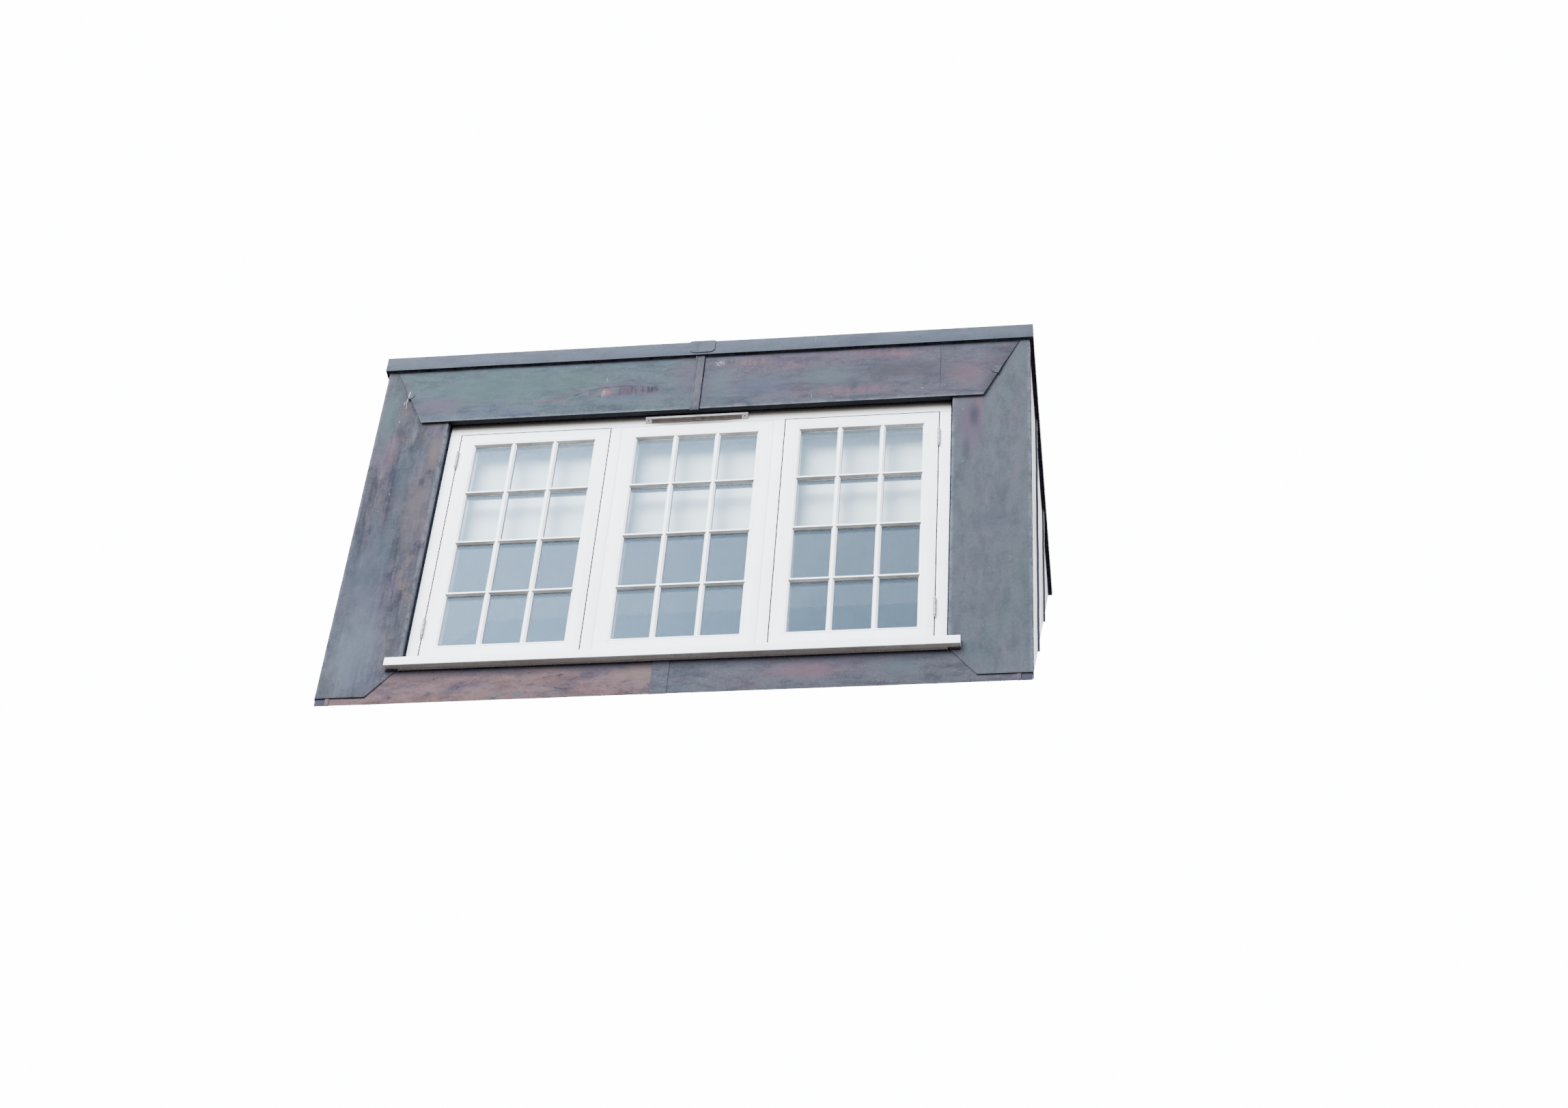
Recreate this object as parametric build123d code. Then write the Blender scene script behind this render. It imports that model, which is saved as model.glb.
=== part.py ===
from build123d import *
import math
import os

os.makedirs("parts", exist_ok=True)

# Lead-clad flat-roofed dormer window for a steep roof.
# Millimetres. X runs along the front, Y goes back up the roof, Z is up.
# Drawn from the front lead face (y = 0) and the front edge of the sill (z = 0),
# then moved so that the origin is the centre of the front base plate's sloped seat.

# Window: three flush lights in one frame
SASH_W = 606.0
SASH_H = 1224.0
SASH_DEEP = 57.0
GAP = 2.0
MULLION = 43.0
JAMB_SHOW = 52.0
HEAD_SHOW = 62.0
FRAME_HIDE = 20.0
FRAME_SET = 36.0
STOP = 12.0
STILE = 56.0
BOTTOM_RAIL = 94.0
GLASS_T = 14.0
GLASS_GAP = 1.0
BEVEL_DEEP = 11.5
BEVEL = 7.5
REBATE = 7.0
WINDOW_X = -5.0

# Sill
SILL_DEEP = 38.0
SILL_OUT = 33.0
SILL_HORN = 47.0
SILL_RISE = 11.0
SILL_EDGE = 1.5
SILL_UPSTAND = 15.0
SASH_FOOT_GAP = 3.0
UNDERCUT = 8.0
THROAT_W = 8.0
THROAT_DEEP = 5.0

# Hinges, ventilator, blind
HINGE_R = 5.5
HINGE_L = 80.0
HINGE_TIP_R = 4.5
HINGE_LEAF = 32.0
HINGE_TOP_IN = 145.0
HINGE_LOW_IN = 183.0
VENT_X = -6.0
VENT_L = 410.0
VENT_H = 28.0
VENT_OUT = 14.0
VENT_DOWN = 19.0
BLIND_DROP = 547.0
BLIND_T = 1.2
BLIND_BACK = 15.0
HEADRAIL_H = 38.0
HEADRAIL_D = 34.0
HEADRAIL_W = 1880.0
BLIND_SIDE = 15.0

# Lead
LEAD = 3.0
JAMB_PANEL_W = 299.0
PANEL_FOOT_UP = 37.0
PANEL_SPLAY = 106.0
PANEL_SPLAY_TOP = 8.0
CORNER_WRAP = 40.0
HEAD_BAND = 292.0
HEAD_DRIP = 25.0
HEAD_TILT = 9.0
HEAD_LAP_LOW = 183.0
HEAD_LAP_IN = 39.0
LAP = 50.0
HEAD_JOINT_X = -16.0
CAP_W = 35.0
CAP_TAB = 8.0
APRON_IN = 43.0
APRON_HEM = 15.0
APRON_JOINT_X = -65.0
APRON_LAP = 60.0
CHEEK_BAY = (440.0, 527.0)
CHEEK_WELT_W = 12.0
CHEEK_WELT_OUT = 8.0

# Roof edge, centre roll
TRIM_H = 77.0
TRIM_OVER = 14.0
TRIM_OUT = 15.0
FILLET_UP = 6.0
ROLL_X = -10.0
ROLL_R = 22.5
ROLL_STEM = 20.0
ROLL_SET = 90.0
TONGUE_W = 103.0
TONGUE_SHORT = 10.0
TONGUE_R = 22.0

# Boards and timber
ROOF_PITCH = 50.0
FOOT_DROP = 200.0
FRONT_BOARD = 18.0
CHEEK_BOARD = 15.0
STUD = 95.0
SIDE_PLATE = 60.0
JOIST_H = 100.0
JOIST_W = 45.0
DECK = 18.0
HEADER_D = 45.0
LINING = 12.5
LINING_SHOW = 12.0
LINING_UP = 8.0
WINDOW_BOARD = 20.0
JOINT = 0.5

# Derived heights
SLOPE = math.tan(math.radians(ROOF_PITCH))
SILL_SEAT_Z = SILL_RISE
UPSTAND_Z = SILL_SEAT_Z + SILL_UPSTAND
SASH_LOW_Z = SILL_SEAT_Z + SASH_FOOT_GAP
SASH_TOP_Z = SASH_LOW_Z + SASH_H
ROW_TOP_Z = SASH_TOP_Z + GAP
OPEN_Z = SASH_TOP_Z + HEAD_SHOW
FRAME_TOP_Z = OPEN_Z + FRAME_HIDE
DRIP_Z = OPEN_Z - HEAD_DRIP
TRIM_LOW_Z = OPEN_Z + HEAD_BAND
TILT_TOP_Z = TRIM_LOW_Z + FILLET_UP
TRIM_TOP_Z = TRIM_LOW_Z + TRIM_H
DECK_TOP_Z = TRIM_TOP_Z - LEAD
DECK_LOW_Z = DECK_TOP_Z - DECK
JOIST_LOW_Z = DECK_LOW_Z - JOIST_H
CEILING_Z = JOIST_LOW_Z - LINING
PANEL_FOOT_Z = PANEL_FOOT_UP - FOOT_DROP

# Derived widths
PITCH_X = SASH_W + 2 * GAP + MULLION
ROW_HALF = PITCH_X + SASH_W / 2 + GAP
OPEN_HALF = ROW_HALF + JAMB_SHOW
FRAME_HALF = OPEN_HALF + FRAME_HIDE
SILL_HALF = OPEN_HALF + SILL_HORN
CORNER_X = OPEN_HALF + JAMB_PANEL_W
CHEEK_X = CORNER_X - LEAD
BOARD_X = CHEEK_X - LEAD
STUD_X = BOARD_X - CHEEK_BOARD
LINING_X = STUD_X - STUD
APRON_X = CORNER_X - APRON_IN
TRIM_X = CORNER_X + TRIM_OVER
DECK_X = TRIM_X - LEAD

# Derived depths
BOARD_BACK_Y = LEAD + FRONT_BOARD
DRIP_BACK_Y = FRONT_BOARD - HEAD_TILT
WALL_BACK_Y = BOARD_BACK_Y + STUD
FRAME_Y = FRAME_SET
STOP_Y = FRAME_Y + SASH_DEEP
FRAME_BACK_Y = WALL_BACK_Y
DECK_FRONT_Y = LEAD - TRIM_OUT
BIG = 2 * CORNER_X


def roof_z(y):
    return SLOPE * y - FOOT_DROP


def roof_y(z):
    return (z + FOOT_DROP) / SLOPE


def box(x0, x1, y0, y1, z0, z1):
    x0, x1 = sorted((x0, x1))
    return Pos((x0 + x1) / 2, (y0 + y1) / 2, (z0 + z1) / 2) * Box(x1 - x0, y1 - y0, z1 - z0)


def along_x(points, x0, x1):
    face = make_face(Polyline(*points, close=True))
    return extrude(Plane.YZ.offset(x0) * face, amount=x1 - x0)


def along_y(points, y0, y1):
    face = make_face(Polyline(*points, close=True))
    return extrude(Plane.XZ.offset(-y0) * face, amount=-(y1 - y0))


ABOVE = along_x([(-BIG, roof_z(-BIG)), (BIG, roof_z(BIG)), (BIG, 2 * BIG), (-BIG, 2 * BIG)], -BIG, BIG)
BACK_Y = roof_y(TRIM_TOP_Z) + STUD

# Seat: centre of the front base plate's sloped underside
SEAT_Y = BOARD_BACK_Y + STUD / 2
SEAT_Z = roof_z(SEAT_Y)


def keep(name, solid):
    solids = solid.moved(Location((0, -SEAT_Y, -SEAT_Z))).solids()
    if len(solids) != 1:
        raise ValueError(name + " has " + str(len(solids)) + " solids")
    export_step(solids[0], "parts/" + name + ".step")


def pair(name, solid):
    keep(name + "_right", solid)
    keep(name + "_left", mirror(solid, about=Plane.YZ))


# Edge of the window opening, and of the head panel where it laps the jamb panels
def open_x(side):
    return WINDOW_X + side * OPEN_HALF


def lap_x(side, z, inset):
    low = side * (CORNER_X - HEAD_LAP_LOW)
    high = side * (CORNER_X - HEAD_LAP_IN)
    return low + (high - low) * (z - DRIP_Z) / (HEAD_BAND + HEAD_DRIP) - side * inset


# Front of the head board, which leans out to a drip at its foot
def head_front(z):
    return -HEAD_TILT * (TILT_TOP_Z - z) / (TILT_TOP_Z - DRIP_Z)


# Timber carcass
def carcass():
    top = -SILL_DEEP
    seat = [(BOARD_BACK_Y, roof_z(BOARD_BACK_Y)), (WALL_BACK_Y, roof_z(WALL_BACK_Y))]
    keep("base_plate_front", along_x(seat + [(WALL_BACK_Y, top), (BOARD_BACK_Y, top)], -STUD_X, STUD_X))
    rise = SIDE_PLATE / math.cos(math.radians(ROOF_PITCH))
    points = [
        (WALL_BACK_Y, roof_z(WALL_BACK_Y)),
        (roof_y(JOIST_LOW_Z), JOIST_LOW_Z),
        (roof_y(JOIST_LOW_Z - rise), JOIST_LOW_Z),
        (WALL_BACK_Y, roof_z(WALL_BACK_Y) + rise),
    ]
    pair("side_plate", along_x(points, LINING_X, STUD_X))
    pair("corner_post", box(LINING_X, STUD_X, BOARD_BACK_Y, WALL_BACK_Y, top, JOIST_LOW_Z))
    keep("window_lintel", box(-LINING_X, LINING_X, BOARD_BACK_Y, WALL_BACK_Y, FRAME_TOP_Z, JOIST_LOW_Z))
    header_y = roof_y(JOIST_LOW_Z) - HEADER_D
    pair("edge_joist", box(STUD_X - JOIST_W, STUD_X, BOARD_BACK_Y, header_y, JOIST_LOW_Z, DECK_LOW_Z))
    keep("centre_joist", box(-JOIST_W / 2, JOIST_W / 2, BOARD_BACK_Y, header_y, JOIST_LOW_Z, DECK_LOW_Z))
    points = [
        (header_y, JOIST_LOW_Z),
        (roof_y(JOIST_LOW_Z), JOIST_LOW_Z),
        (roof_y(DECK_LOW_Z), DECK_LOW_Z),
        (header_y, DECK_LOW_Z),
    ]
    keep("roof_header", along_x(points, -STUD_X, STUD_X))
    keep("roof_deck", box(-DECK_X, DECK_X, DECK_FRONT_Y, BACK_Y, DECK_LOW_Z, DECK_TOP_Z) & ABOVE)


# Boards that the lead is dressed over
def boards():
    low = -SILL_DEEP
    keep("apron_board", box(-BOARD_X, BOARD_X, 2 * LEAD, BOARD_BACK_Y, 2 * -FOOT_DROP, low) & ABOVE)
    head_low = OPEN_Z + LEAD
    for side, name in ((1, "right"), (-1, "left")):
        inner = open_x(side) + side * LEAD
        points = [
            (inner, low),
            (side * BOARD_X, low),
            (side * BOARD_X, DECK_LOW_Z),
            (lap_x(side, DECK_LOW_Z, LAP), DECK_LOW_Z),
            (lap_x(side, head_low, LAP), head_low),
            (inner, head_low),
        ]
        keep("jamb_board_" + name, along_y(points, LEAD, BOARD_BACK_Y))
    foot = DRIP_Z + LEAD
    points = [
        (open_x(-1) + JOINT, foot),
        (open_x(1) - JOINT, foot),
        (open_x(1) - JOINT, head_low),
        (lap_x(1, head_low, LAP + JOINT), head_low),
        (lap_x(1, DECK_LOW_Z, LAP + JOINT), DECK_LOW_Z),
        (lap_x(-1, DECK_LOW_Z, LAP + JOINT), DECK_LOW_Z),
        (lap_x(-1, head_low, LAP + JOINT), head_low),
        (open_x(-1) + JOINT, head_low),
    ]
    section = [
        (head_front(foot), foot),
        (DRIP_BACK_Y, foot),
        (DRIP_BACK_Y, head_low),
        (BOARD_BACK_Y, head_low),
        (BOARD_BACK_Y, DECK_LOW_Z),
        (0, DECK_LOW_Z),
        (0, TILT_TOP_Z),
    ]
    keep("head_board", along_y(points, -HEAD_TILT, BOARD_BACK_Y) & along_x(section, -BIG, BIG))
    points = [
        (BOARD_BACK_Y, roof_z(BOARD_BACK_Y)),
        (roof_y(DECK_LOW_Z), DECK_LOW_Z),
        (BOARD_BACK_Y, DECK_LOW_Z),
    ]
    pair("cheek_sheathing", along_x(points, STUD_X, BOARD_X))


# Inner linings round the open bay
def linings():
    x0 = WINDOW_X - OPEN_HALF - LINING_SHOW
    x1 = WINDOW_X + OPEN_HALF + LINING_SHOW
    hole_z = OPEN_Z + LINING_UP
    low = 2 * -FOOT_DROP
    points = [
        (-LINING_X, low),
        (x0, low),
        (x0, hole_z),
        (x1, hole_z),
        (x1, low),
        (LINING_X, low),
        (LINING_X, CEILING_Z),
        (-LINING_X, CEILING_Z),
    ]
    inside_y = WALL_BACK_Y + LINING
    keep("front_lining", along_y(points, WALL_BACK_Y, inside_y) & ABOVE)
    points = [(inside_y, roof_z(inside_y)), (roof_y(CEILING_Z), CEILING_Z), (inside_y, CEILING_Z)]
    pair("cheek_lining", along_x(points, LINING_X - LINING, LINING_X))
    ceiling = box(-LINING_X, LINING_X, WALL_BACK_Y, BACK_Y, CEILING_Z, JOIST_LOW_Z)
    keep("ceiling_lining", ceiling & ABOVE)
    shelf = box(x0, x1, FRAME_BACK_Y, BACK_Y, UPSTAND_Z - WINDOW_BOARD, UPSTAND_Z)
    keep("window_board", shelf & ABOVE)


# Lead cladding of the front: jamb panels under the head panels and over the apron.
# The head lead is turned under the drip, up behind it and back to the frame.
def front_lead():
    drip_y = head_front(DRIP_Z) - LEAD
    head_low = OPEN_Z + LEAD
    face = [
        (drip_y, DRIP_Z),
        (drip_y + LEAD, DRIP_Z),
        (0, TILT_TOP_Z),
        (0, DECK_LOW_Z),
        (-LEAD, DECK_LOW_Z),
        (-LEAD, TILT_TOP_Z),
    ]
    fold = [
        (drip_y + LEAD, DRIP_Z),
        (DRIP_BACK_Y + LEAD, DRIP_Z),
        (DRIP_BACK_Y + LEAD, OPEN_Z),
        (FRAME_Y, OPEN_Z),
        (FRAME_Y, head_low),
        (DRIP_BACK_Y, head_low),
        (DRIP_BACK_Y, DRIP_Z + LEAD),
        (head_front(DRIP_Z + LEAD), DRIP_Z + LEAD),
    ]
    for side, name in ((1, "right"), (-1, "left")):
        edge = open_x(side)
        splay_z = PANEL_SPLAY_TOP - SILL_DEEP
        points = [
            (edge + side * PANEL_SPLAY, PANEL_FOOT_Z),
            (side * CORNER_X, PANEL_FOOT_Z),
            (side * CORNER_X, DECK_LOW_Z),
            (lap_x(side, DECK_LOW_Z, LAP), DECK_LOW_Z),
            (lap_x(side, head_low, LAP), head_low),
            (edge, head_low),
            (edge, splay_z),
        ]
        panel = along_y(points, 0, LEAD)
        panel += box(edge, edge + side * LEAD, LEAD, FRAME_Y, splay_z, OPEN_Z)
        panel += box(side * CHEEK_X, side * CORNER_X, LEAD, CORNER_WRAP, PANEL_FOOT_Z, TRIM_LOW_Z)
        keep("jamb_panel_" + name, panel & ABOVE)

        points = [
            (HEAD_JOINT_X, DRIP_Z),
            (lap_x(side, DRIP_Z, 0), DRIP_Z),
            (lap_x(side, DECK_LOW_Z, 0), DECK_LOW_Z),
            (HEAD_JOINT_X, DECK_LOW_Z),
        ]
        panel = along_y(points, -2 * LEAD - HEAD_TILT, LEAD) & along_x(face, -BIG, BIG)
        x0, x1 = sorted((HEAD_JOINT_X, edge))
        keep("head_panel_" + name, panel + along_x(fold, x0, x1))
    x0 = HEAD_JOINT_X - CAP_W / 2
    tab = DRIP_Z - CAP_TAB
    points = [
        (-LEAD, TILT_TOP_Z),
        (-2 * LEAD, TILT_TOP_Z),
        (drip_y - LEAD, DRIP_Z),
        (drip_y - LEAD, tab),
        (drip_y, tab),
        (drip_y, DRIP_Z),
    ]
    keep("head_joint_cap", along_x(points, x0, x0 + CAP_W))

    deep = 2 * -FOOT_DROP
    top = -SILL_DEEP
    butt = APRON_JOINT_X + APRON_LAP
    hem_top = PANEL_FOOT_Z - JOINT
    left = box(-APRON_X, butt, LEAD, 2 * LEAD, deep, top)
    left += box(-APRON_X, APRON_HEM - APRON_X, 0, LEAD, deep, hem_top)
    keep("apron_left", left & ABOVE)
    right = box(butt, APRON_X, LEAD, 2 * LEAD, deep, top)
    right += box(APRON_JOINT_X, butt + LEAD, 0, LEAD, deep, top)
    right += box(APRON_X - APRON_HEM, APRON_X, 0, LEAD, deep, hem_top)
    keep("apron_right", right & ABOVE)


# Lead cladding of the cheeks, in welted bays
def cheek_lead():
    points = [
        (LEAD, roof_z(LEAD)),
        (roof_y(DECK_LOW_Z), DECK_LOW_Z),
        (LEAD, DECK_LOW_Z),
    ]
    skin = along_x(points, BOARD_X, CHEEK_X)
    skin += box(APRON_X + JOINT, BOARD_X, LEAD, 2 * LEAD, 2 * -FOOT_DROP, -SILL_DEEP) & ABOVE
    y = 0
    for bay in CHEEK_BAY:
        y += bay
        w = CHEEK_WELT_W / 2
        skin += box(CHEEK_X, CHEEK_X + CHEEK_WELT_OUT, y - w, y + w, 2 * -FOOT_DROP, TRIM_LOW_Z) & ABOVE
    pair("cheek_lead", skin)


# Flat lead roof with turned-down edges and a wood-cored centre roll
def roof():
    x0 = ROLL_X - ROLL_R
    x1 = ROLL_X + ROLL_R
    left = box(-TRIM_X, x0, -TRIM_OUT, BACK_Y, DECK_TOP_Z, TRIM_TOP_Z)
    left += box(x0, x1, -TRIM_OUT, ROLL_SET - TRIM_OUT, DECK_TOP_Z, TRIM_TOP_Z)
    left += box(-TRIM_X, x1, -TRIM_OUT, DECK_FRONT_Y, TRIM_LOW_Z, DECK_TOP_Z)
    left += box(-TRIM_X, -DECK_X, -TRIM_OUT, BACK_Y, TRIM_LOW_Z, DECK_TOP_Z)
    keep("roof_sheet_left", left & ABOVE)
    right = box(x1, TRIM_X, -TRIM_OUT, BACK_Y, DECK_TOP_Z, TRIM_TOP_Z)
    right += box(x1, TRIM_X, -TRIM_OUT, DECK_FRONT_Y, TRIM_LOW_Z, DECK_TOP_Z)
    right += box(DECK_X, TRIM_X, -TRIM_OUT, BACK_Y, TRIM_LOW_Z, DECK_TOP_Z)
    keep("roof_sheet_right", right & ABOVE)

    round_z = DECK_TOP_Z + ROLL_STEM
    end_y = 2 * BACK_Y
    front = ROLL_SET - TRIM_OUT
    core = Pos(ROLL_X, (front + end_y) / 2, round_z) * Rot(90, 0, 0) * Cylinder(ROLL_R, end_y - front)
    core += box(x0, x1, front, end_y, DECK_TOP_Z, round_z)
    core = core & ABOVE & box(-BIG, BIG, 0, BIG, DECK_TOP_Z, BIG)
    keep("roof_roll", core)

    front = front - LEAD
    shell = Pos(ROLL_X, (front + end_y) / 2, round_z) * Rot(90, 0, 0) * Cylinder(ROLL_R + LEAD, end_y - front)
    shell += box(x0 - LEAD, x1 + LEAD, front, end_y, TRIM_TOP_Z, round_z)
    shell = shell & box(-BIG, BIG, 0, BIG, TRIM_TOP_Z, BIG)
    x0 = ROLL_X - TONGUE_W / 2
    x1 = ROLL_X + TONGUE_W / 2
    shell += box(x0, x1, -TRIM_OUT - LEAD, end_y, TRIM_TOP_Z, TRIM_TOP_Z + LEAD)
    shell -= core
    shell = shell & ABOVE
    tongue = box(x0, x1, -TRIM_OUT - LEAD, -TRIM_OUT, TRIM_LOW_Z + TONGUE_SHORT, TRIM_TOP_Z)
    tongue = fillet(tongue.edges().filter_by(Axis.Y).group_by(Axis.Z)[0], TONGUE_R)
    keep("roll_cap", shell + tongue)

    low = TRIM_LOW_Z + FILLET_UP
    fillets = box(-DECK_X, DECK_X, DECK_FRONT_Y, -LEAD, low, DECK_LOW_Z)
    for side in (-1, 1):
        fillets += box(side * CORNER_X, side * DECK_X, DECK_FRONT_Y, BACK_Y, low, DECK_LOW_Z)
        fillets += box(side * CHEEK_X, side * CORNER_X, LEAD, BACK_Y, low, DECK_LOW_Z)
    keep("drip_fillet", fillets & ABOVE)


# Window frame: weathered sill with horns, rebated head, jambs and mullions
def frame():
    back = FRAME_BACK_Y
    low = -SILL_DEEP
    front = -SILL_OUT
    run = FRAME_Y - front - SILL_EDGE
    nose = [(-THROAT_W, low), (front, low), (front, -SILL_EDGE), (front + SILL_EDGE, 0)]
    seat = [(FRAME_Y, SILL_SEAT_Z), (STOP_Y, SILL_SEAT_Z), (STOP_Y, UPSTAND_Z), (back, UPSTAND_Z), (back, low)]
    mid_z = SILL_SEAT_Z * (-front - SILL_EDGE) / run
    sill = along_x(nose + seat, WINDOW_X - OPEN_HALF, WINDOW_X + OPEN_HALF)
    sill += along_x(seat + [(FRAME_Y, low)], WINDOW_X - FRAME_HALF, WINDOW_X + FRAME_HALF)
    sill += along_x(nose + [(0, mid_z), (0, low)], WINDOW_X - SILL_HALF, WINDOW_X + SILL_HALF)
    under = [(0, low), (0, low + UNDERCUT), (front + THROAT_W, low + THROAT_DEEP), (front + THROAT_W, low)]
    sill -= along_x(under, WINDOW_X - SILL_HALF, WINDOW_X + SILL_HALF)
    keep("window_sill", sill)

    x0 = WINDOW_X - FRAME_HALF
    x1 = WINDOW_X + FRAME_HALF
    head = box(x0, x1, FRAME_Y, STOP_Y, ROW_TOP_Z, FRAME_TOP_Z)
    head += box(x0, x1, STOP_Y, back, ROW_TOP_Z - STOP, FRAME_TOP_Z)
    keep("frame_head", head)
    for side, name in ((1, "right"), (-1, "left")):
        outer = WINDOW_X + side * FRAME_HALF
        inner = WINDOW_X + side * ROW_HALF
        jamb = box(inner, outer, FRAME_Y, STOP_Y, SILL_SEAT_Z, ROW_TOP_Z)
        jamb += box(inner - side * STOP, outer, STOP_Y, back, UPSTAND_Z, ROW_TOP_Z - STOP)
        keep("frame_jamb_" + name, jamb)
        x = WINDOW_X + side * PITCH_X / 2
        w = MULLION / 2
        post = box(x - w, x + w, FRAME_Y, STOP_Y, SILL_SEAT_Z, ROW_TOP_Z)
        post += box(x - w - STOP, x + w + STOP, STOP_Y, back, UPSTAND_Z, ROW_TOP_Z - STOP)
        keep("mullion_" + name, post)


# Skilled feature: flush sashes, rebated for sealed glass held by bevelled glazing beads
def sashes():
    names = ("left", "middle", "right")
    sash_names = ("casement_left", "fixed_light", "casement_right")
    half = SASH_W / 2
    arris_x = half - STILE
    arris_low = SASH_LOW_Z + BOTTOM_RAIL
    arris_top = SASH_TOP_Z - STILE - GAP
    glass_y = FRAME_Y + BEVEL_DEEP
    lip_y = glass_y + GLASS_T
    rx = arris_x + REBATE
    r0 = arris_low - REBATE
    r1 = arris_top + REBATE
    sx = arris_x - BEVEL
    s0 = arris_low + BEVEL
    s1 = arris_top - BEVEL
    for i in range(3):
        x = WINDOW_X + (i - 1) * PITCH_X
        sash = box(x - half, x + half, FRAME_Y, STOP_Y, SASH_LOW_Z, SASH_TOP_Z)
        sash -= box(x - rx, x + rx, FRAME_Y, lip_y, r0, r1)
        sash -= box(x - sx, x + sx, lip_y, STOP_Y, s0, s1)
        keep(sash_names[i], sash)
        outer = Plane.XZ.offset(-FRAME_Y) * Pos(x, (arris_low + arris_top) / 2)
        inner = Plane.XZ.offset(-glass_y) * Pos(x, (s0 + s1) / 2)
        hole = loft([
            outer * Rectangle(2 * arris_x, arris_top - arris_low),
            inner * Rectangle(2 * sx, s1 - s0),
        ])
        keep("glazing_bead_" + names[i], box(x - rx, x + rx, FRAME_Y, glass_y, r0, r1) - hole)
        g = GLASS_GAP
        keep("glass_" + names[i], box(x - rx + g, x + rx - g, glass_y, lip_y, r0 + g, r1 - g))


# Butt hinges with ball tips, on the outer stiles of the two side lights
def hinges():
    for tag, z in (("upper", SASH_TOP_Z - HINGE_TOP_IN), ("lower", SASH_LOW_Z + HINGE_LOW_IN)):
        for side, name in ((1, "right"), (-1, "left")):
            x = WINDOW_X + side * (ROW_HALF - GAP / 2)
            y = FRAME_Y - HINGE_R
            half = HINGE_L / 2
            hinge = Pos(x, y, z) * Cylinder(HINGE_R, HINGE_L)
            for end in (-1, 1):
                hinge += Pos(x, y, z + end * (half + HINGE_TIP_R - JOINT)) * Sphere(HINGE_TIP_R)
            hinge += box(x - GAP / 2, x + GAP / 2, y, FRAME_Y + HINGE_LEAF, z - half, z + half)
            keep("hinge_" + tag + "_" + name, hinge)


# Trickle ventilator hood on the frame head
def vent():
    y = FRAME_Y - VENT_OUT
    z1 = OPEN_Z - VENT_DOWN
    z0 = z1 - VENT_H
    points = [
        (FRAME_Y, z1),
        (y + VENT_OUT / 4, z1 - VENT_H / 14),
        (y, z1 - VENT_H / 5),
        (y, z0 + VENT_H / 7),
        (y + VENT_OUT / 4, z0),
        (FRAME_Y, z0),
    ]
    x = WINDOW_X + VENT_X
    keep("trickle_vent", along_x(points, x - VENT_L / 2, x + VENT_L / 2))


# Part-drawn blind behind the glass, hung from the frame head
def blind():
    z = OPEN_Z - HEADRAIL_H
    half = HEADRAIL_W / 2
    keep("blind_headrail", box(WINDOW_X - half, WINDOW_X + half, FRAME_BACK_Y, FRAME_BACK_Y + HEADRAIL_D, z, OPEN_Z))
    half = half - BLIND_SIDE
    y = FRAME_BACK_Y + BLIND_BACK
    keep("blind_sheet", box(WINDOW_X - half, WINDOW_X + half, y, y + BLIND_T, z - BLIND_DROP, z))


carcass()
boards()
linings()
front_lead()
cheek_lead()
roof()
frame()
sashes()
hinges()
vent()
blind()
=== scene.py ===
from math import copysign, cos, exp, pi, radians, sin, tan

import bmesh
import bpy
from mathutils import Matrix, Vector, noise


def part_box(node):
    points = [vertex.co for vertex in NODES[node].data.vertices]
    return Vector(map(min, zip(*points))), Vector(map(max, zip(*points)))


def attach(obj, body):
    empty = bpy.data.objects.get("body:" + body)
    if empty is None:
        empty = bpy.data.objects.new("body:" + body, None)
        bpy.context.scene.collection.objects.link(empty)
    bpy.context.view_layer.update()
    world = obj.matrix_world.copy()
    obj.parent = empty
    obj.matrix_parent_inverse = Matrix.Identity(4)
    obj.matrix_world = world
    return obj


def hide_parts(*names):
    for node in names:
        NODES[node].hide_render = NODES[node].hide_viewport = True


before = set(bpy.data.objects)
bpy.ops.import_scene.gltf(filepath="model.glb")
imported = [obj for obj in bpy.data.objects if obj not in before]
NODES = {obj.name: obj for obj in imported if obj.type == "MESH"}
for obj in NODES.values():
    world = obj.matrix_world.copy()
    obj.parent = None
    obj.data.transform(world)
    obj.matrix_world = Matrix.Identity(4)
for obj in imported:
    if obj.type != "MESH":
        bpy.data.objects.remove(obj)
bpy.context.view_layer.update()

# Millimetres from the front lead face (y = 0) and the front edge of the sill (z = 0)
SILL_DEEP = 38.0
SEAT_Y = -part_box("jamb_panel_left")[0].y * 1000
SEAT_Z = -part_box("window_sill")[0].z * 1000 - SILL_DEEP


def corners(node):
    """Low and high corner of a node's box, in millimetres"""
    return [Vector((x * 1000, y * 1000 + SEAT_Y, z * 1000 + SEAT_Z)) for x, y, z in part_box(node)]


def low(node):
    return corners(node)[0]


def high(node):
    return corners(node)[1]


def place(x, y, z):
    return Vector((x, y - SEAT_Y, z - SEAT_Z)) / 1000


LEAD = 3.0
WINDOW_X = (low("frame_head").x + high("frame_head").x) / 2
OPEN_HALF = low("jamb_panel_right").x - WINDOW_X
CORNER_X = high("jamb_panel_right").x
FOOT_Z = low("jamb_panel_left").z
DRIP_Z = low("head_panel_left").z
DRIP_Y = low("head_panel_left").y
FRAME_Y = low("frame_head").y
FRAME_TOP_Z = high("frame_head").z
OPEN_Z = FRAME_TOP_Z - 20
SILL_TOP_Z = low("frame_jamb_left").z
TRIM_LOW_Z = low("roof_sheet_left").z
TRIM_TOP_Z = high("roof_sheet_left").z
TILT_TOP_Z = TRIM_LOW_Z + 6
DRIP_BACK_Y = 12.0
WRAP = 40.0
LAP = 50.0
LAP_LOW_X = CORNER_X - 183
LAP_HIGH_X = CORNER_X - 39
JOINT_X = -16.0
SPLAY_Z = -30.0
SEAT_SLOPE = radians(50)
SPLAY_RUN = 106.0
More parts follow.
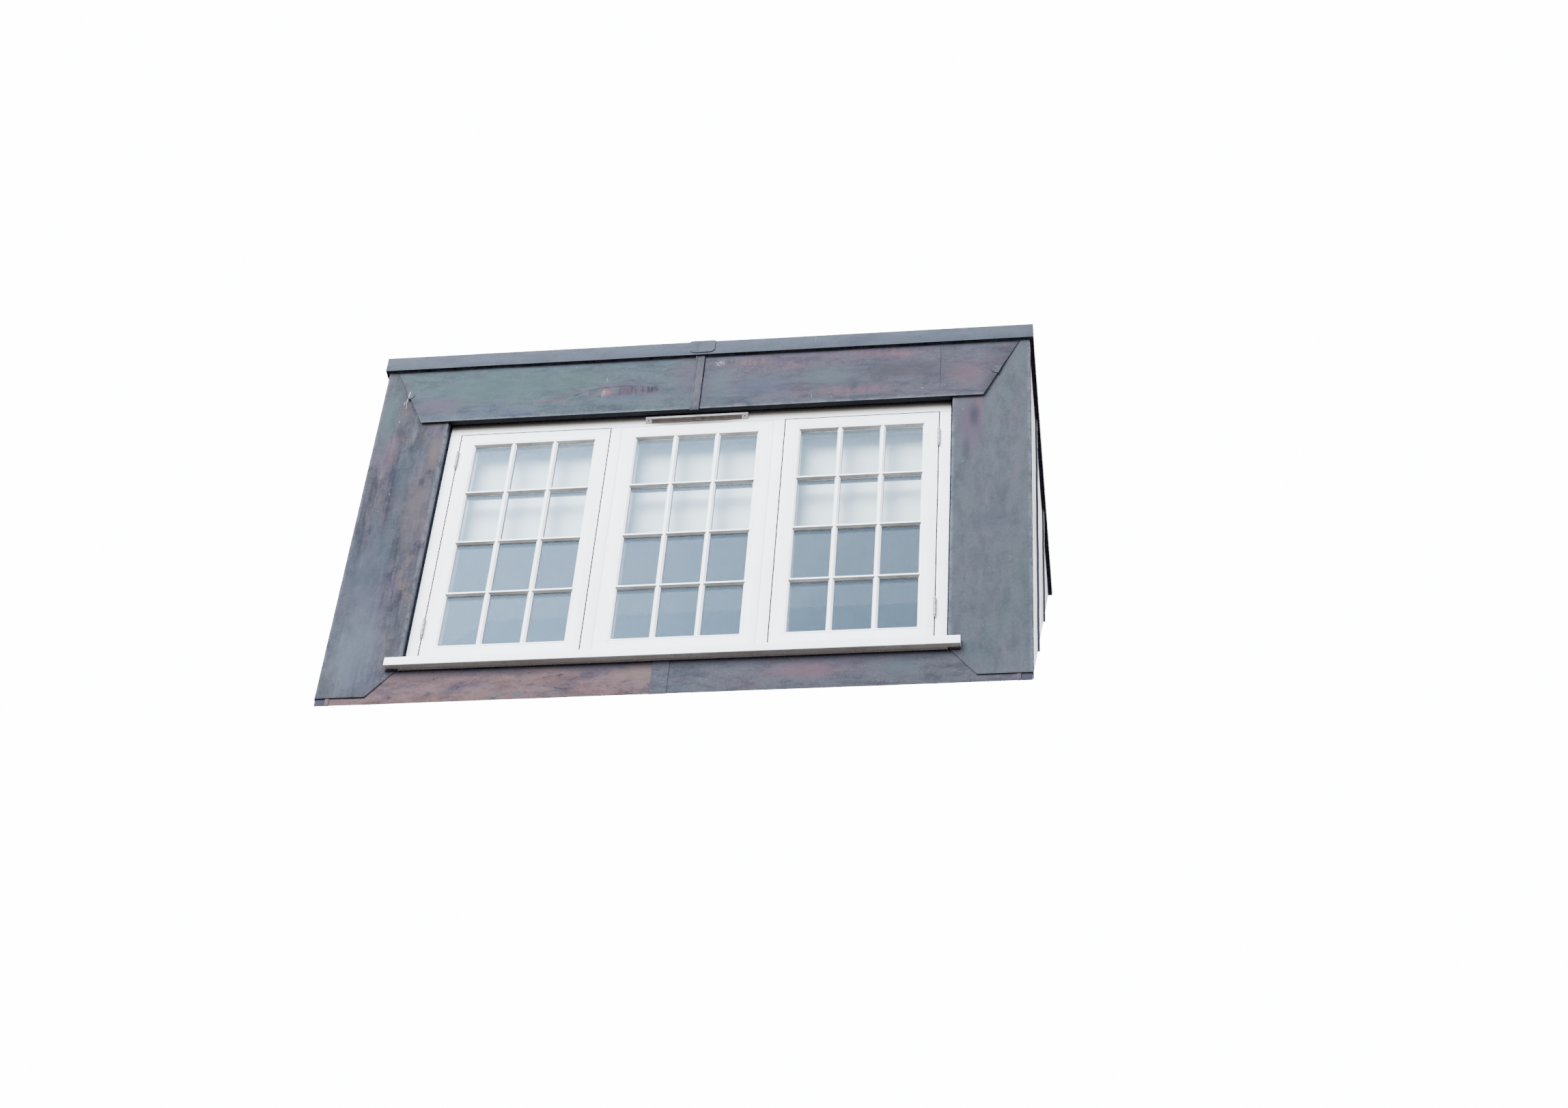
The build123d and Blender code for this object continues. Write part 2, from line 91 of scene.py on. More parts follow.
DAY_IN = 13.5
BAR = 22.0
BAR_NOSE = 7.0
PANE = 4.0


# Material trees
class Graph:
    """Node helpers for a material or the world"""

    def __init__(self, tree, coordinates):
        self.nodes = tree.nodes
        self.links = tree.links
        self.object = self.node("TexCoord", {}).outputs[coordinates]

    def node(self, kind, inputs, **settings):
        """Shader node with its settings, then its inputs from sockets or values"""
        node = self.nodes.new("ShaderNode" + kind)
        for key, value in settings.items():
            setattr(node, key, value)
        for key, value in inputs.items():
            self.put(node.inputs[key], value)
        return node

    def put(self, socket, value):
        if isinstance(value, bpy.types.NodeSocket):
            self.links.new(value, socket)
        elif isinstance(value, tuple) and len(value) == 3 and socket.type == "RGBA":
            socket.default_value = (*value, 1)
        else:
            socket.default_value = value

    def space(self, scale=(1, 1, 1), shift=(0, 0, 0)):
        return self.node("Mapping", {"Vector": self.object, "Scale": scale, "Location": shift}).outputs["Vector"]

    def noise(self, vector, scale=1.0, detail=4.0, rough=0.55, warp=0.0):
        inputs = {"Vector": vector, "Scale": scale, "Detail": detail, "Roughness": rough, "Distortion": warp}
        return self.node("TexNoise", inputs).outputs["Fac"]

    def ramp(self, value, start, end, first=0.0, last=1.0):
        inputs = {"Value": value, "From Min": start, "From Max": end, "To Min": first, "To Max": last}
        return self.node("MapRange", inputs, interpolation_type="SMOOTHSTEP").outputs["Result"]

    def calc(self, kind, first, second):
        return self.node("Math", {0: first, 1: second}, operation=kind).outputs[0]

    def mix(self, share, first, second, blend="MIX"):
        return self.node("Mix", {0: share, 6: first, 7: second}, data_type="RGBA", blend_type=blend).outputs[2]

    def shade(self, share, colour, factor):
        return self.mix(share, colour, factor, "MULTIPLY")

    def bump(self, height, depth, before=None):
        inputs = {"Strength": 1.0, "Distance": depth / 1000, "Height": height}
        if before is not None:
            inputs["Normal"] = before
        return self.node("Bump", inputs).outputs["Normal"]

    def away(self, centre, radii, uneven, scale):
        """Distance from a centre in units of the radii, with an uneven edge"""
        shift = self.node("VectorMath", {0: self.object, 1: centre}, operation="SUBTRACT").outputs[0]
        unit = self.node("VectorMath", {0: shift, 1: radii}, operation="DIVIDE").outputs[0]
        length = self.node("VectorMath", {0: unit}, operation="LENGTH").outputs["Value"]
        wobble = self.calc("MULTIPLY", self.noise(self.space(), scale, 5, 0.6), 2 * uneven)
        return self.calc("ADD", length, self.calc("SUBTRACT", wobble, uneven))

    def axis(self, name, vector=None):
        return self.node("SeparateXYZ", {0: self.object if vector is None else vector}).outputs[name]


SOCKETS = {
    "colour": "Base Color", "rough": "Roughness", "normal": "Normal", "metallic": "Metallic", "alpha": "Alpha",
    "specular": "Specular IOR Level", "sheen": "Sheen Weight", "ior": "IOR", "through": "Transmission Weight"}


class Tree(Graph):
    """Material with one principled shader"""

    def __init__(self, name):
        self.mat = bpy.data.materials.new(name)
        self.mat.use_nodes = True
        super().__init__(self.mat.node_tree, "Object")
        self.shader = self.nodes["Principled BSDF"]

    def finish(self, **values):
        for name, value in values.items():
            self.put(self.shader.inputs[SOCKETS[name]], value)
        return self.mat

    def reach(self, centre, radii, uneven=0.3, scale=9.0):
        return self.away(place(*centre), tuple(r / 1000 for r in radii), uneven, scale)

    def facing(self, name, start=-0.2, end=-0.8):
        return self.ramp(self.axis(name, self.node("NewGeometry", {}).outputs["True Normal"]), start, end)

    def height(self, start, end, share):
        """0 at one height in millimetres, the share at another"""
        return self.ramp(self.axis("Z"), place(0, 0, start).z, place(0, 0, end).z, 0, share)

    def shaded_and_stained(self, colour, painted_shades, marks, inside):
        """Colour with painted shade and highlight between two heights, then marks, which are stains and painted
        shadows, whose share inside(...) gives
        """
        # Painted shade and highlight bands between two heights
        for overlay, share, start, end in painted_shades:
            colour = self.mix(self.height(start, end, share), colour, overlay)
        for overlay, share, centre, radii, soft in marks:
            colour = self.mix(inside(overlay, share, centre, radii, soft), colour, overlay)
        return colour

    def spot(self, share, centre, radii, soft, uneven, scale=9.0):
        return self.ramp(self.reach(centre, radii, uneven, scale), 1 - soft, 1 + 0.3 * soft, share, 0)


def lead(name, base, patches, seed, grain, streak=0.5, speck=0.6, age=1.0, marks=(), rings=(), painted_bands=()):
    """Weathered lead: patina patches, run marks along the grain and pale specks; painted shade underneath, and a
    painted highlight with the wear at folds.
    Patches are (tone, share, size in millimetres, threshold)"""
    tree = Tree(name)
    shift = (3.7 * seed, 1.9 * seed, 5.3 * seed)
    space = tree.space(shift=shift)
    stretch = (0.42, 1, 1) if grain[0] < grain[2] else (1, 1, 0.42)
    colour = base
    for i, (tone, share, size, start) in enumerate(patches):
        moved = (shift[0] + 2.3 * i, shift[1], shift[2] - 1.7 * i)
        cloud = tree.noise(tree.space(stretch, moved), 1000 / size, 9, 0.72, 0.25)
        colour = tree.mix(tree.ramp(cloud, start, start + 0.08, 0, share), colour, tone)
    runs = tree.noise(tree.space(grain, shift), 1.0, 8, 0.70, 0.5)
    colour = tree.shade(tree.ramp(runs, 0.50, 0.70, 0, streak), colour, (0.48, 0.49, 0.54))
    wash = tree.noise(tree.space(tuple(2.2 * g for g in grain), shift[::-1]), 1.0, 6, 0.68, 0.4)
    colour = tree.mix(tree.ramp(wash, 0.54, 0.78, 0, 0.45 * streak), colour, (0.096, 0.101, 0.113))
    mottle = tree.noise(tree.space(stretch, shift), 24, 8, 0.72, 0.15)
    colour = tree.shade(tree.ramp(mottle, 0.44, 0.62, 0, 0.50 * age), colour, (0.54, 0.54, 0.59))
    fine = tree.noise(space, 90, 6, 0.75)
    colour = tree.shade(tree.ramp(fine, 0.46, 0.64, 0, 0.30 * age), colour, (0.52, 0.52, 0.56))
    colour = tree.mix(tree.ramp(fine, 0.42, 0.30, 0, 0.30 * age), colour, (0.13, 0.135, 0.15))
    ragged = tree.ramp(tree.noise(tree.space((55, 55, 8), shift), 1.0, 7, 0.75), 0.42, 0.56, 0.2, 1)
    broken = tree.ramp(tree.noise(space, 230, 4, 0.7), 0.50, 0.60)
    cells = tree.node("TexVoronoi", {"Vector": space, "Scale": 42})
    dots = tree.ramp(cells.outputs["Distance"], 0.04, 0.09, speck, 0)
    dots = tree.calc("MULTIPLY", dots, tree.ramp(tree.noise(space, 5, 4, 0.6), 0.52, 0.62))
    colour = tree.mix(dots, colour, (0.17, 0.18, 0.19))

    def inside(overlay, share, centre, radii, soft):
        spot = tree.spot(share, centre, radii, soft, 0.4, 14)
        if overlay == CHALK or radii[2] < 40:
            spot = tree.calc("MULTIPLY", spot, broken if overlay == CHALK else ragged)
        return spot

    colour = tree.shaded_and_stained(colour, painted_bands, marks, inside)
    for overlay, share, centre, radii, width in rings:
        away = tree.calc("ABSOLUTE", tree.calc("SUBTRACT", tree.reach(centre, radii, 0.05), 1), 0)
        upper = tree.height(centre[2] + 0.20 * radii[2], centre[2] + 0.55 * radii[2], share)
        line = tree.calc("MULTIPLY", tree.ramp(away, 0, width, 1, 0), tree.calc("MULTIPLY", upper, ragged))
        colour = tree.mix(line, colour, overlay)
    # Wear and painted highlight: paler lead along the folds, where their edges catch the light
    worn_and_lit = tree.node("Attribute", {}, attribute_name="wear_and_highlight").outputs["Fac"]
    rubbed_and_lit = tree.calc("MULTIPLY", worn_and_lit, tree.ramp(tree.noise(space, 24, 5, 0.7), 0.36, 0.60))
    colour = tree.mix(tree.calc("MULTIPLY", rubbed_and_lit, 0.55), colour, (0.12, 0.13, 0.15))
    # Painted shade: near black on faces that look down
    colour = tree.mix(tree.facing("Z"), colour, (0.002, 0.002, 0.003))
    ripple = tree.bump(tree.noise(space, 10, 3, 0.5, 0.3), 2.4)
    ripple = tree.bump(runs, 0.8, ripple)
    return tree.finish(
        colour=colour, metallic=0.1, specular=0.09, rough=tree.ramp(mottle, 0.3, 0.7, 0.40, 0.62),
        normal=tree.bump(fine, 0.4, ripple))


def paint(name, under=(0.065, 0.057, 0.048), grime=0.10, painted_shades=(), marks=()):
    """Brushed exterior paint, browner and darker where it faces down as painted shade with dirt; painted shades run
    between two heights
    """
    tree = Tree(name)
    space = tree.space()
    blotch = tree.noise(space, 5, 6, 0.62, 0.4)
    brush = tree.noise(tree.space((70, 70, 4)), 1.0, 5, 0.6)
    shown = tree.mix(tree.ramp(blotch, 0.44, 0.72, 0, grime), (0.88, 0.90, 0.91), (0.42, 0.40, 0.36))
    shown = tree.mix(tree.ramp(brush, 0.4, 0.75, 0, 0.14), shown, (0.60, 0.62, 0.64))
    shown = tree.shaded_and_stained(
        shown, painted_shades, marks, lambda overlay, share, centre, radii, soft: tree.spot(share, centre, radii, soft, 0.1))
    # Painted shade with dirt: the under colour on faces that look down
    lower = tree.calc("MULTIPLY", tree.facing("Z"), tree.ramp(blotch, 0.2, 0.8, 0.85, 1.0))
    coarse = tree.bump(tree.noise(space, 3, 2), 1.0)
    return tree.finish(
        colour=tree.mix(lower, shown, under), rough=tree.ramp(blotch, 0.3, 0.7, 0.32, 0.48),
        normal=tree.bump(brush, 0.25, coarse))


def timber(name, early, late, grain=(50, 50, 3)):
    tree = Tree(name)
    rings = tree.noise(tree.space(grain), 1.0, 7, 0.66, 0.6)
    shown = tree.mix(tree.ramp(rings, 0.32, 0.70), early, late)
    overlay = tree.noise(tree.space(), 3.5, 5, 0.6)
    shown = tree.shade(tree.ramp(overlay, 0.45, 0.75, 0, 0.6), shown, (0.55, 0.50, 0.46))
    return tree.finish(colour=shown, rough=tree.ramp(rings, 0.3, 0.7, 0.62, 0.8), normal=tree.bump(rings, 0.5))


def plaster(name, colour):
    tree = Tree(name)
    cloud = tree.noise(tree.space(), 3.5, 6, 0.62)
    stipple = tree.noise(tree.space(), 240, 3)
    shown = tree.mix(tree.ramp(cloud, 0.4, 0.75, 0, 0.3), colour, tuple(0.75 * c for c in colour))
    return tree.finish(colour=shown, rough=tree.ramp(cloud, 0.3, 0.7, 0.80, 0.92), normal=tree.bump(stipple, 0.3))


def glass(name):
    tree = Tree(name)
    film = tree.noise(tree.space((1, 1, 0.6)), 3.0, 6, 0.6, 0.5)
    shown = tree.mix(tree.ramp(film, 0.40, 0.70), (0.945, 0.97, 0.965), (0.89, 0.93, 0.93))
    waves = tree.bump(tree.noise(tree.space(), 2.2, 2), 0.10)
    return tree.finish(colour=shown, rough=0.0, ior=1.5, through=1.0, normal=waves)


def mottled(name, colour, overlay, grain, spread, share, depth, rough, stretch=(1, 1, 1), sides=0, **values):
    """Colour with stains where the grain is high, and painted shade on the faces that turn left and right if asked;
    rough is one value or a pair
    """
    tree = Tree(name)
    cloud = tree.noise(tree.space(stretch), *grain)
    shown = tree.mix(tree.ramp(cloud, *spread, 0, share), colour, overlay)
    # Painted shade on the faces that turn left and right
    for way in (-1, 1) if sides else ():
        turn = tree.facing("X", 0.2 * way, 0.95 * way)
        shown = tree.shade(tree.calc("MULTIPLY", turn, sides), shown, (0.10, 0.095, 0.09))
    if isinstance(rough, tuple):
        rough = tree.ramp(cloud, 0.3, 0.7, *rough)
    return tree.finish(colour=shown, rough=rough, normal=tree.bump(cloud, depth), **values)


def metal(name, colour, overlay, metallic, rough, sides=0):
    return mottled(
        name, colour, overlay, (85, 6, 0.65), (0.46, 0.72), 0.6, 0.12, (rough, rough + 0.2), sides=sides,
        metallic=metallic)


def plastic(name, colour, dirt, share=0.4, rough=0.4):
    return mottled(
        name, colour, dirt, (26, 6, 0.62), (0.40, 0.75), share, 0.08, (rough, rough + 0.15), (1, 1, 3))


def dull(name, colour, other):
    """Dark matt filler or shaded edge"""
    return mottled(name, colour, other, (60, 6, 0.7), (0.4, 0.6), 1, 0.3, 0.9, specular=0.0)


def cloth(name, colour):
    tree = Tree(name)
    threads = []
    for axis in "XZ":
        inputs = {"Vector": tree.space(), "Scale": 320, "Distortion": 0.6}
        wave = tree.node("TexWave", inputs, wave_type="BANDS", bands_direction=axis)
        threads.append(wave.outputs["Fac"])
    weave = tree.calc("MULTIPLY", *threads)
    shown = tree.mix(tree.ramp(weave, 0, 1, 0, 0.25), colour, tuple(0.75 * c for c in colour))
    return tree.finish(colour=shown, rough=0.9, sheen=0.2, normal=tree.bump(weave, 0.15))


def cheek_lead(name):
    """Lead seen along its face: pale all over as a painted sheen of the sky at a grazing angle, with painted shade on
    the welts and corners that face forward
    """
    tree = Tree(name)
    cloud = tree.noise(tree.space((1, 1, 0.4)), 3.0, 7, 0.68, 0.6)
    runs = tree.noise(tree.space((18, 18, 1.2)), 1.0, 7, 0.68, 0.5)
    # Painted sheen: far paler than the other lead
    shown = tree.mix(tree.ramp(cloud, 0.40, 0.62), (0.12, 0.11, 0.13), (0.16, 0.135, 0.16))
    shown = tree.shade(tree.ramp(runs, 0.48, 0.72, 0, 0.5), shown, (0.62, 0.62, 0.66))
    # Painted shade on faces that look forward
    shown = tree.mix(tree.facing("Y", -0.3, -0.7), shown, (0.030, 0.027, 0.040))
    return tree.finish(
        colour=shown, specular=0.16, rough=tree.ramp(cloud, 0.3, 0.7, 0.45, 0.65), normal=tree.bump(runs, 0.8))


TEAL = (0.041, 0.050, 0.056)
GREEN = (0.037, 0.051, 0.049)
BLUE = (0.038, 0.043, 0.061)
SLATE = (0.034, 0.036, 0.044)
GREY = (0.047, 0.048, 0.052)
MAUVE = (0.049, 0.038, 0.050)
PINK = (0.074, 0.044, 0.052)
DARK = (0.014, 0.014, 0.020)
CHALK = (0.24, 0.25, 0.26)
TRIM_BLUE = (0.050, 0.054, 0.067)
ALONG = (1.5, 14, 10)
DOWN = (18, 18, 1.2)
SHADOW = (0.003, 0.003, 0.005)
# Head lead: painted shadow under the trim, and a painted highlight along the drip's lower edge
HEAD_SHADE_AND_HIGHLIGHT = [(DARK, 0.8, 1566, 1586), (SHADOW, 0.95, 1579, 1588), ((0.085, 0.090, 0.100), 0.5, 1284, 1277)]


def spots(y, rows):
    """Marks on a face at y, from rows of tone, share, x, z, half width, half height and softness;
    a ring has its line's width in place of softness"""
    deep = 90
    return [(tone, share, (x, y, z), (wide, deep, tall), soft) for tone, share, x, z, wide, tall, soft in rows]


HEAD_LEFT = lead(
    "lead_head_left", TEAL,
    [(BLUE, 0.9, 210, 0.51), (MAUVE, 0.8, 240, 0.54), (GREEN, 0.85, 330, 0.50), (PINK, 0.5, 120, 0.60),
     (SLATE, 0.7, 90, 0.54)],
    1, ALONG, 0.55, 0.5,
    marks=spots(-8, [
        ((0.036, 0.054, 0.055), 0.75, -850, 1470, 380, 120, 0.9),
        (GREEN, 0.7, -480, 1500, 200, 70, 0.9),
        (MAUVE, 0.8, -1070, 1370, 110, 60, 0.8),
        (PINK, 0.7, -640, 1372, 60, 10, 0.8),
        ((0.036, 0.023, 0.033), 0.95, -310, 1402, 185, 34, 0.6),
        ((0.088, 0.044, 0.056), 1.0, -385, 1402, 46, 28, 0.7),
        ((0.018, 0.012, 0.017), 0.95, -225, 1412, 75, 26, 0.7),
        (BLUE, 0.9, -330, 1360, 150, 24, 0.9),
        (CHALK, 0.75, -396, 1398, 9, 34, 0.8),
        (CHALK, 0.5, -388, 1480, 5, 26, 0.8),
        (MAUVE, 0.7, -60, 1480, 70, 130, 0.9),
    ]),
    rings=spots(-8, [(DARK, 1.0, -335, 1362, 190, 72, 0.05)]),
    painted_bands=HEAD_SHADE_AND_HIGHLIGHT)
HEAD_RIGHT = lead(
    "lead_head_right", (0.046, 0.043, 0.051),
    [(SLATE, 0.9, 260, 0.50), (MAUVE, 0.8, 230, 0.48), (TEAL, 0.7, 190, 0.56), (PINK, 0.75, 150, 0.55),
     ((0.074, 0.049, 0.048), 0.5, 80, 0.60)],
    2, ALONG, 0.55, 0.5,
    marks=spots(-8, [
        (TEAL, 0.7, 70, 1400, 70, 130, 0.9),
        ((0.078, 0.050, 0.050), 0.8, 190, 1545, 150, 30, 0.9),
        ((0.028, 0.024, 0.024), 0.9, 105, 1553, 62, 26, 0.9),
        (CHALK, 0.8, 68, 1546, 20, 22, 0.8),
        (BLUE, 0.7, 240, 1400, 140, 70, 0.9),
        (PINK, 0.7, 430, 1500, 200, 22, 0.9),
        (TEAL, 0.7, 520, 1440, 150, 90, 0.9),
        ((0.030, 0.028, 0.032), 0.75, 820, 1450, 220, 66, 0.7),
        (PINK, 0.6, 640, 1340, 230, 34, 0.9),
        (PINK, 0.5, 1060, 1400, 90, 80, 0.9),
        (PINK, 0.5, 700, 1555, 240, 30, 0.9),
        (DARK, 0.85, 956, 1450, 2.2, 165, 0.5),
        (CHALK, 0.7, 957, 1305, 3, 11, 0.7),
        (CHALK, 0.6, 448, 1318, 2, 20, 0.6),
        (CHALK, 0.5, 885, 1330, 9, 3, 0.6),
    ]),
    painted_bands=HEAD_SHADE_AND_HIGHLIGHT)
JAMB_LEFT = lead(
    "lead_jamb_left", (0.035, 0.033, 0.038),
    [((0.034, 0.039, 0.046), 0.8, 260, 0.52), (MAUVE, 0.85, 170, 0.49), (BLUE, 0.6, 120, 0.56),
     ((0.062, 0.047, 0.047), 0.75, 110, 0.54), (DARK, 0.55, 60, 0.56)],
    3, DOWN, 1.0, 0.9,
    marks=spots(0, [
        (DARK, 0.5, -1190, 900, 40, 260, 0.9),
        ((0.042, 0.058, 0.058), 0.7, -1270, 1330, 50, 250, 0.9),
        ((0.076, 0.052, 0.050), 0.6, -1052, 1110, 34, 130, 0.9),
        ((0.070, 0.050, 0.048), 0.5, -1205, 1360, 26, 70, 0.9),
        ((0.060, 0.047, 0.049), 0.6, -1080, 800, 60, 240, 0.9),
        (PINK, 0.45, -1230, 1130, 30, 110, 0.9),
        (DARK, 0.8, -1049, 1000, 26, 20, 0.8),
        (DARK, 0.7, -1075, 945, 16, 34, 0.8),
        (CHALK, 0.8, -1194, 884, 2.4, 8, 0.6),
        (CHALK, 0.5, -1199, 840, 2, 14, 0.6),
        (CHALK, 0.5, -1218, 560, 2, 10, 0.6),
        (CHALK, 0.5, -1150, 520, 3, 5, 0.6),
        ((0.036, 0.041, 0.052), 0.7, -1215, 430, 110, 330, 0.9),
        ((0.064, 0.073, 0.090), 0.6, -1200, 60, 130, 300, 0.9),
    ]))
JAMB_RIGHT = lead(
    "lead_jamb_right", (0.047, 0.049, 0.055),
    [((0.041, 0.049, 0.051), 0.8, 260, 0.50), (SLATE, 0.5, 170, 0.55), ((0.056, 0.053, 0.061), 0.8, 180, 0.52)],
    4, (9, 9, 1.6), 0.3, 0.2, 0.65,
    marks=spots(0, [
        (MAUVE, 1.0, 1078, 1130, 60, 190, 0.7),
        (PINK, 0.6, 1110, 1230, 16, 60, 0.8),
        (DARK, 0.6, 1092, 1170, 26, 80, 0.9),
        (DARK, 0.4, 1060, 980, 20, 90, 0.9),
        (CHALK, 0.5, 1046, 1206, 2, 12, 0.6),
        (CHALK, 0.5, 1049, 921, 2, 9, 0.6),
        (SLATE, 0.6, 1150, 600, 90, 60, 0.9),
    ]))
APRON_LEFT = lead(
    "lead_apron_left", (0.086, 0.054, 0.054),
    [(MAUVE, 0.75, 150, 0.51), (TEAL, 0.8, 110, 0.54), ((0.100, 0.062, 0.055), 0.8, 90, 0.52), (DARK, 0.6, 32, 0.56)],
    5, (2.4, 12, 9), 0.5, 0.6,
    # Painted shade under the sill, darkest up against it
    painted_bands=[(SLATE, 0.6, -95, -50), (DARK, 0.6, -62, -43)],
    marks=spots(0, [((0.100, 0.069, 0.062), 0.7, -110, -100, 90, 40, 0.9)]))
APRON_RIGHT = lead(
    "lead_apron_right", (0.049, 0.047, 0.054),
    [(MAUVE, 0.9, 190, 0.49), (SLATE, 0.7, 130, 0.54), (TEAL, 0.6, 150, 0.57), (DARK, 0.4, 50, 0.60)],
    6, (2.4, 12, 9), 0.45, 0.4,
    # Painted shade under the sill, darkest up against it
    painted_bands=[(SLATE, 0.4, -95, -50), (DARK, 0.6, -62, -43)],
    marks=spots(4, [
        (PINK, 0.8, 500, -110, 170, 44, 0.9),
        (TEAL, 0.7, 840, -110, 90, 50, 0.8),
        (CHALK, 0.4, 300, -90, 16, 2, 0.6),
    ]))
TRIM = lead(
    "lead_trim", TRIM_BLUE, [((0.046, 0.055, 0.062), 0.6, 260, 0.52), (SLATE, 0.4, 160, 0.58)],
    7, (1.3, 10, 10), 0.16, 0.2, 0.45,
    marks=spots(-15, [(CHALK, 0.5, 449, 1643, 3, 20, 0.6)]))
LAPPED = lead("lead_lapped", GREY, [(MAUVE, 0.6, 120, 0.50), (SLATE, 0.6, 80, 0.54)], 9, DOWN, 0.4, 0.4)
TONGUE = lead("lead_tongue", (0.053, 0.057, 0.066), [(SLATE, 0.6, 90, 0.52)], 8, (1.3, 10, 10), 0.2, 0.2, 0.6)
CHEEK_SHEEN_AND_SHADE = cheek_lead("lead_cheek")
WELT = dull("shaded_welt", (0.007, 0.005, 0.008), (0.015, 0.011, 0.015))
# Corner welt: near black, painted shade along the corner
CORNER_SHADE = dull("shaded_corner_welt", (0.016, 0.014, 0.018), (0.022, 0.019, 0.025))
WHITE = paint("white_paint")
# Frame head paint: painted shadow under the drip, darkest at the top, and a painted shadow below the vent
WHITE_HEAD_SHADED = paint(
    "white_paint_head_shaded",
    painted_shades=[((0.36, 0.33, 0.29), 0.9, 1242, 1276), ((0.12, 0.10, 0.085), 0.95, 1262, 1290),
            ((0.02, 0.016, 0.013), 0.97, 1281, 1298)],
    marks=[((0.11, 0.095, 0.08), 0.85, (-11, 36, 1252), (216, 60, 25), 0.45)])
# Sill paint: painted shade on its undersides, and a painted shade strip low at its back
WHITE_SILL_SHADED = paint(
    "white_paint_sill_shaded", (0.17, 0.15, 0.14), marks=[((0.13, 0.115, 0.11), 1.0, (0, 6, -38), (20000, 14, 12), 0.1)])
SAWN = timber("sawn_timber", (0.36, 0.23, 0.12), (0.55, 0.39, 0.22))
SHEATHING = timber("sheathing_board", (0.34, 0.24, 0.14), (0.50, 0.38, 0.24), (3, 30, 30))
# Drip fillet: near black, painted shade under the trim
SHADED = dull("shaded_fillet", (0.010, 0.008, 0.012), (0.024, 0.020, 0.026))
PLASTER = plaster("painted_plaster", (0.42, 0.44, 0.47))
GLASS = glass("window_glass")
SPACER = metal("spacer_bar", (0.62, 0.64, 0.66), (0.45, 0.46, 0.48), 0.8, 0.35)
HINGE = metal("hinge_metal", (0.50, 0.50, 0.50), (0.14, 0.13, 0.12), 0.5, 0.16, 0.9)
VENT = plastic("vent_plastic", (0.95, 0.94, 0.94), (0.72, 0.68, 0.66), 0.4)
VENT_CAP = plastic("vent_cap", (0.22, 0.20, 0.19), (0.12, 0.10, 0.09), 0.6, 0.5)
# Slotted face: dark brown, mostly painted shade on the face that leans back under the brow
VENT_FACE = plastic("vent_face", (0.065, 0.052, 0.045), (0.035, 0.028, 0.024), 0.6, 0.7)
# Vent inside: near black, painted shade behind the slots
VENT_INSIDE_SHADE = dull("vent_inside_shade", (0.010, 0.008, 0.007), (0.020, 0.016, 0.013))
JOINT = dull("joint_shadow", (0.020, 0.018, 0.017), (0.044, 0.039, 0.035))
SEAL = dull("dark_seal", (0.008, 0.009, 0.018), (0.022, 0.022, 0.032))
FILLER = plastic("painted_filler", (0.60, 0.62, 0.65), (0.40, 0.39, 0.37), 0.5, 0.5)
CAULK = plastic("white_caulk", (0.34, 0.35, 0.37), (0.12, 0.12, 0.13), 0.8, 0.5)
BLIND = cloth("blind_cloth", (0.78, 0.83, 0.85))


# Mesh helpers
def link(name, data):
    """New object in the scene"""
    made = bpy.data.objects.new(name, data)
    bpy.context.scene.collection.objects.link(made)
    return made


def sharp_edges(mesh, angle):
    return [e for e in mesh.edges if len(e.link_faces) == 2 and e.calc_face_angle(0) > radians(angle)]


def ease(mesh, edges, size, segments=1, clamp=True):
    """Round edges off by a size in millimetres"""
    bmesh.ops.bevel(
        mesh, geom=edges, offset=size / 1000, offset_type="OFFSET", segments=segments, profile=0.5,
        affect="EDGES", clamp_overlap=clamp)


def add_piece(name, mesh, material, replaces=(), angle=38):
    bmesh.ops.recalc_face_normals(mesh, faces=mesh.faces)
    for face in mesh.faces:
        face.smooth = True
    for edge in sharp_edges(mesh, angle):
        edge.smooth = False
    data = bpy.data.meshes.new(name)
    mesh.to_mesh(data)
    mesh.free()
    data.materials.append(material)
    piece = link(name, data)
    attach(piece, "root")
    if replaces:
        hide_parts(*replaces)
    return piece


def slice_mesh(mesh, axis, places):
    normal = Vector((0, 0, 0))
    normal[axis] = 1
    for at in places:
        bmesh.ops.bisect_plane(
            mesh, geom=mesh.verts[:] + mesh.edges[:] + mesh.faces[:], dist=1e-6,
            plane_co=normal * at, plane_no=normal)


def between(start, end, cell):
    count = max(1, round((end - start) / cell))
    return [start + (end - start) * i / count for i in range(1, count)]


def dressed(node, material, edge=1.2, segments=2, cell=0, wave=0, axis=1, seed=0):
    """A CAD piece with eased edges; cell and wave, in millimetres, ripple its sheet along an axis"""
    mesh = bmesh.new()
    mesh.from_mesh(NODES[node].data)
    bmesh.ops.remove_doubles(mesh, verts=mesh.verts, dist=1e-5)
    bmesh.ops.dissolve_limit(mesh, angle_limit=radians(0.5), verts=mesh.verts, edges=mesh.edges)
    ease(mesh, sharp_edges(mesh, 25), edge, segments)
    if cell:
        first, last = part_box(node)
        for along in range(3):
            if along != axis:
                slice_mesh(mesh, along, between(first[along], last[along], cell / 1000))
        for vert in mesh.verts:
            flat = vert.co * 6 + Vector((seed, 0, 0))
            flat[axis] = seed
            vert.co[axis] += noise.noise(flat) * wave / 1000
    return add_piece(node + "_dressed", mesh, material, [node])


def skin(mesh, rings):
    """Closed surface over rings of vertices"""
    for lower, upper in zip(rings, rings[1:]):
        for i in range(len(lower)):
            j = (i + 1) % len(lower)
            mesh.faces.new((lower[i], lower[j], upper[j], upper[i]))
    mesh.faces.new(rings[0][::-1])
    mesh.faces.new(rings[-1])


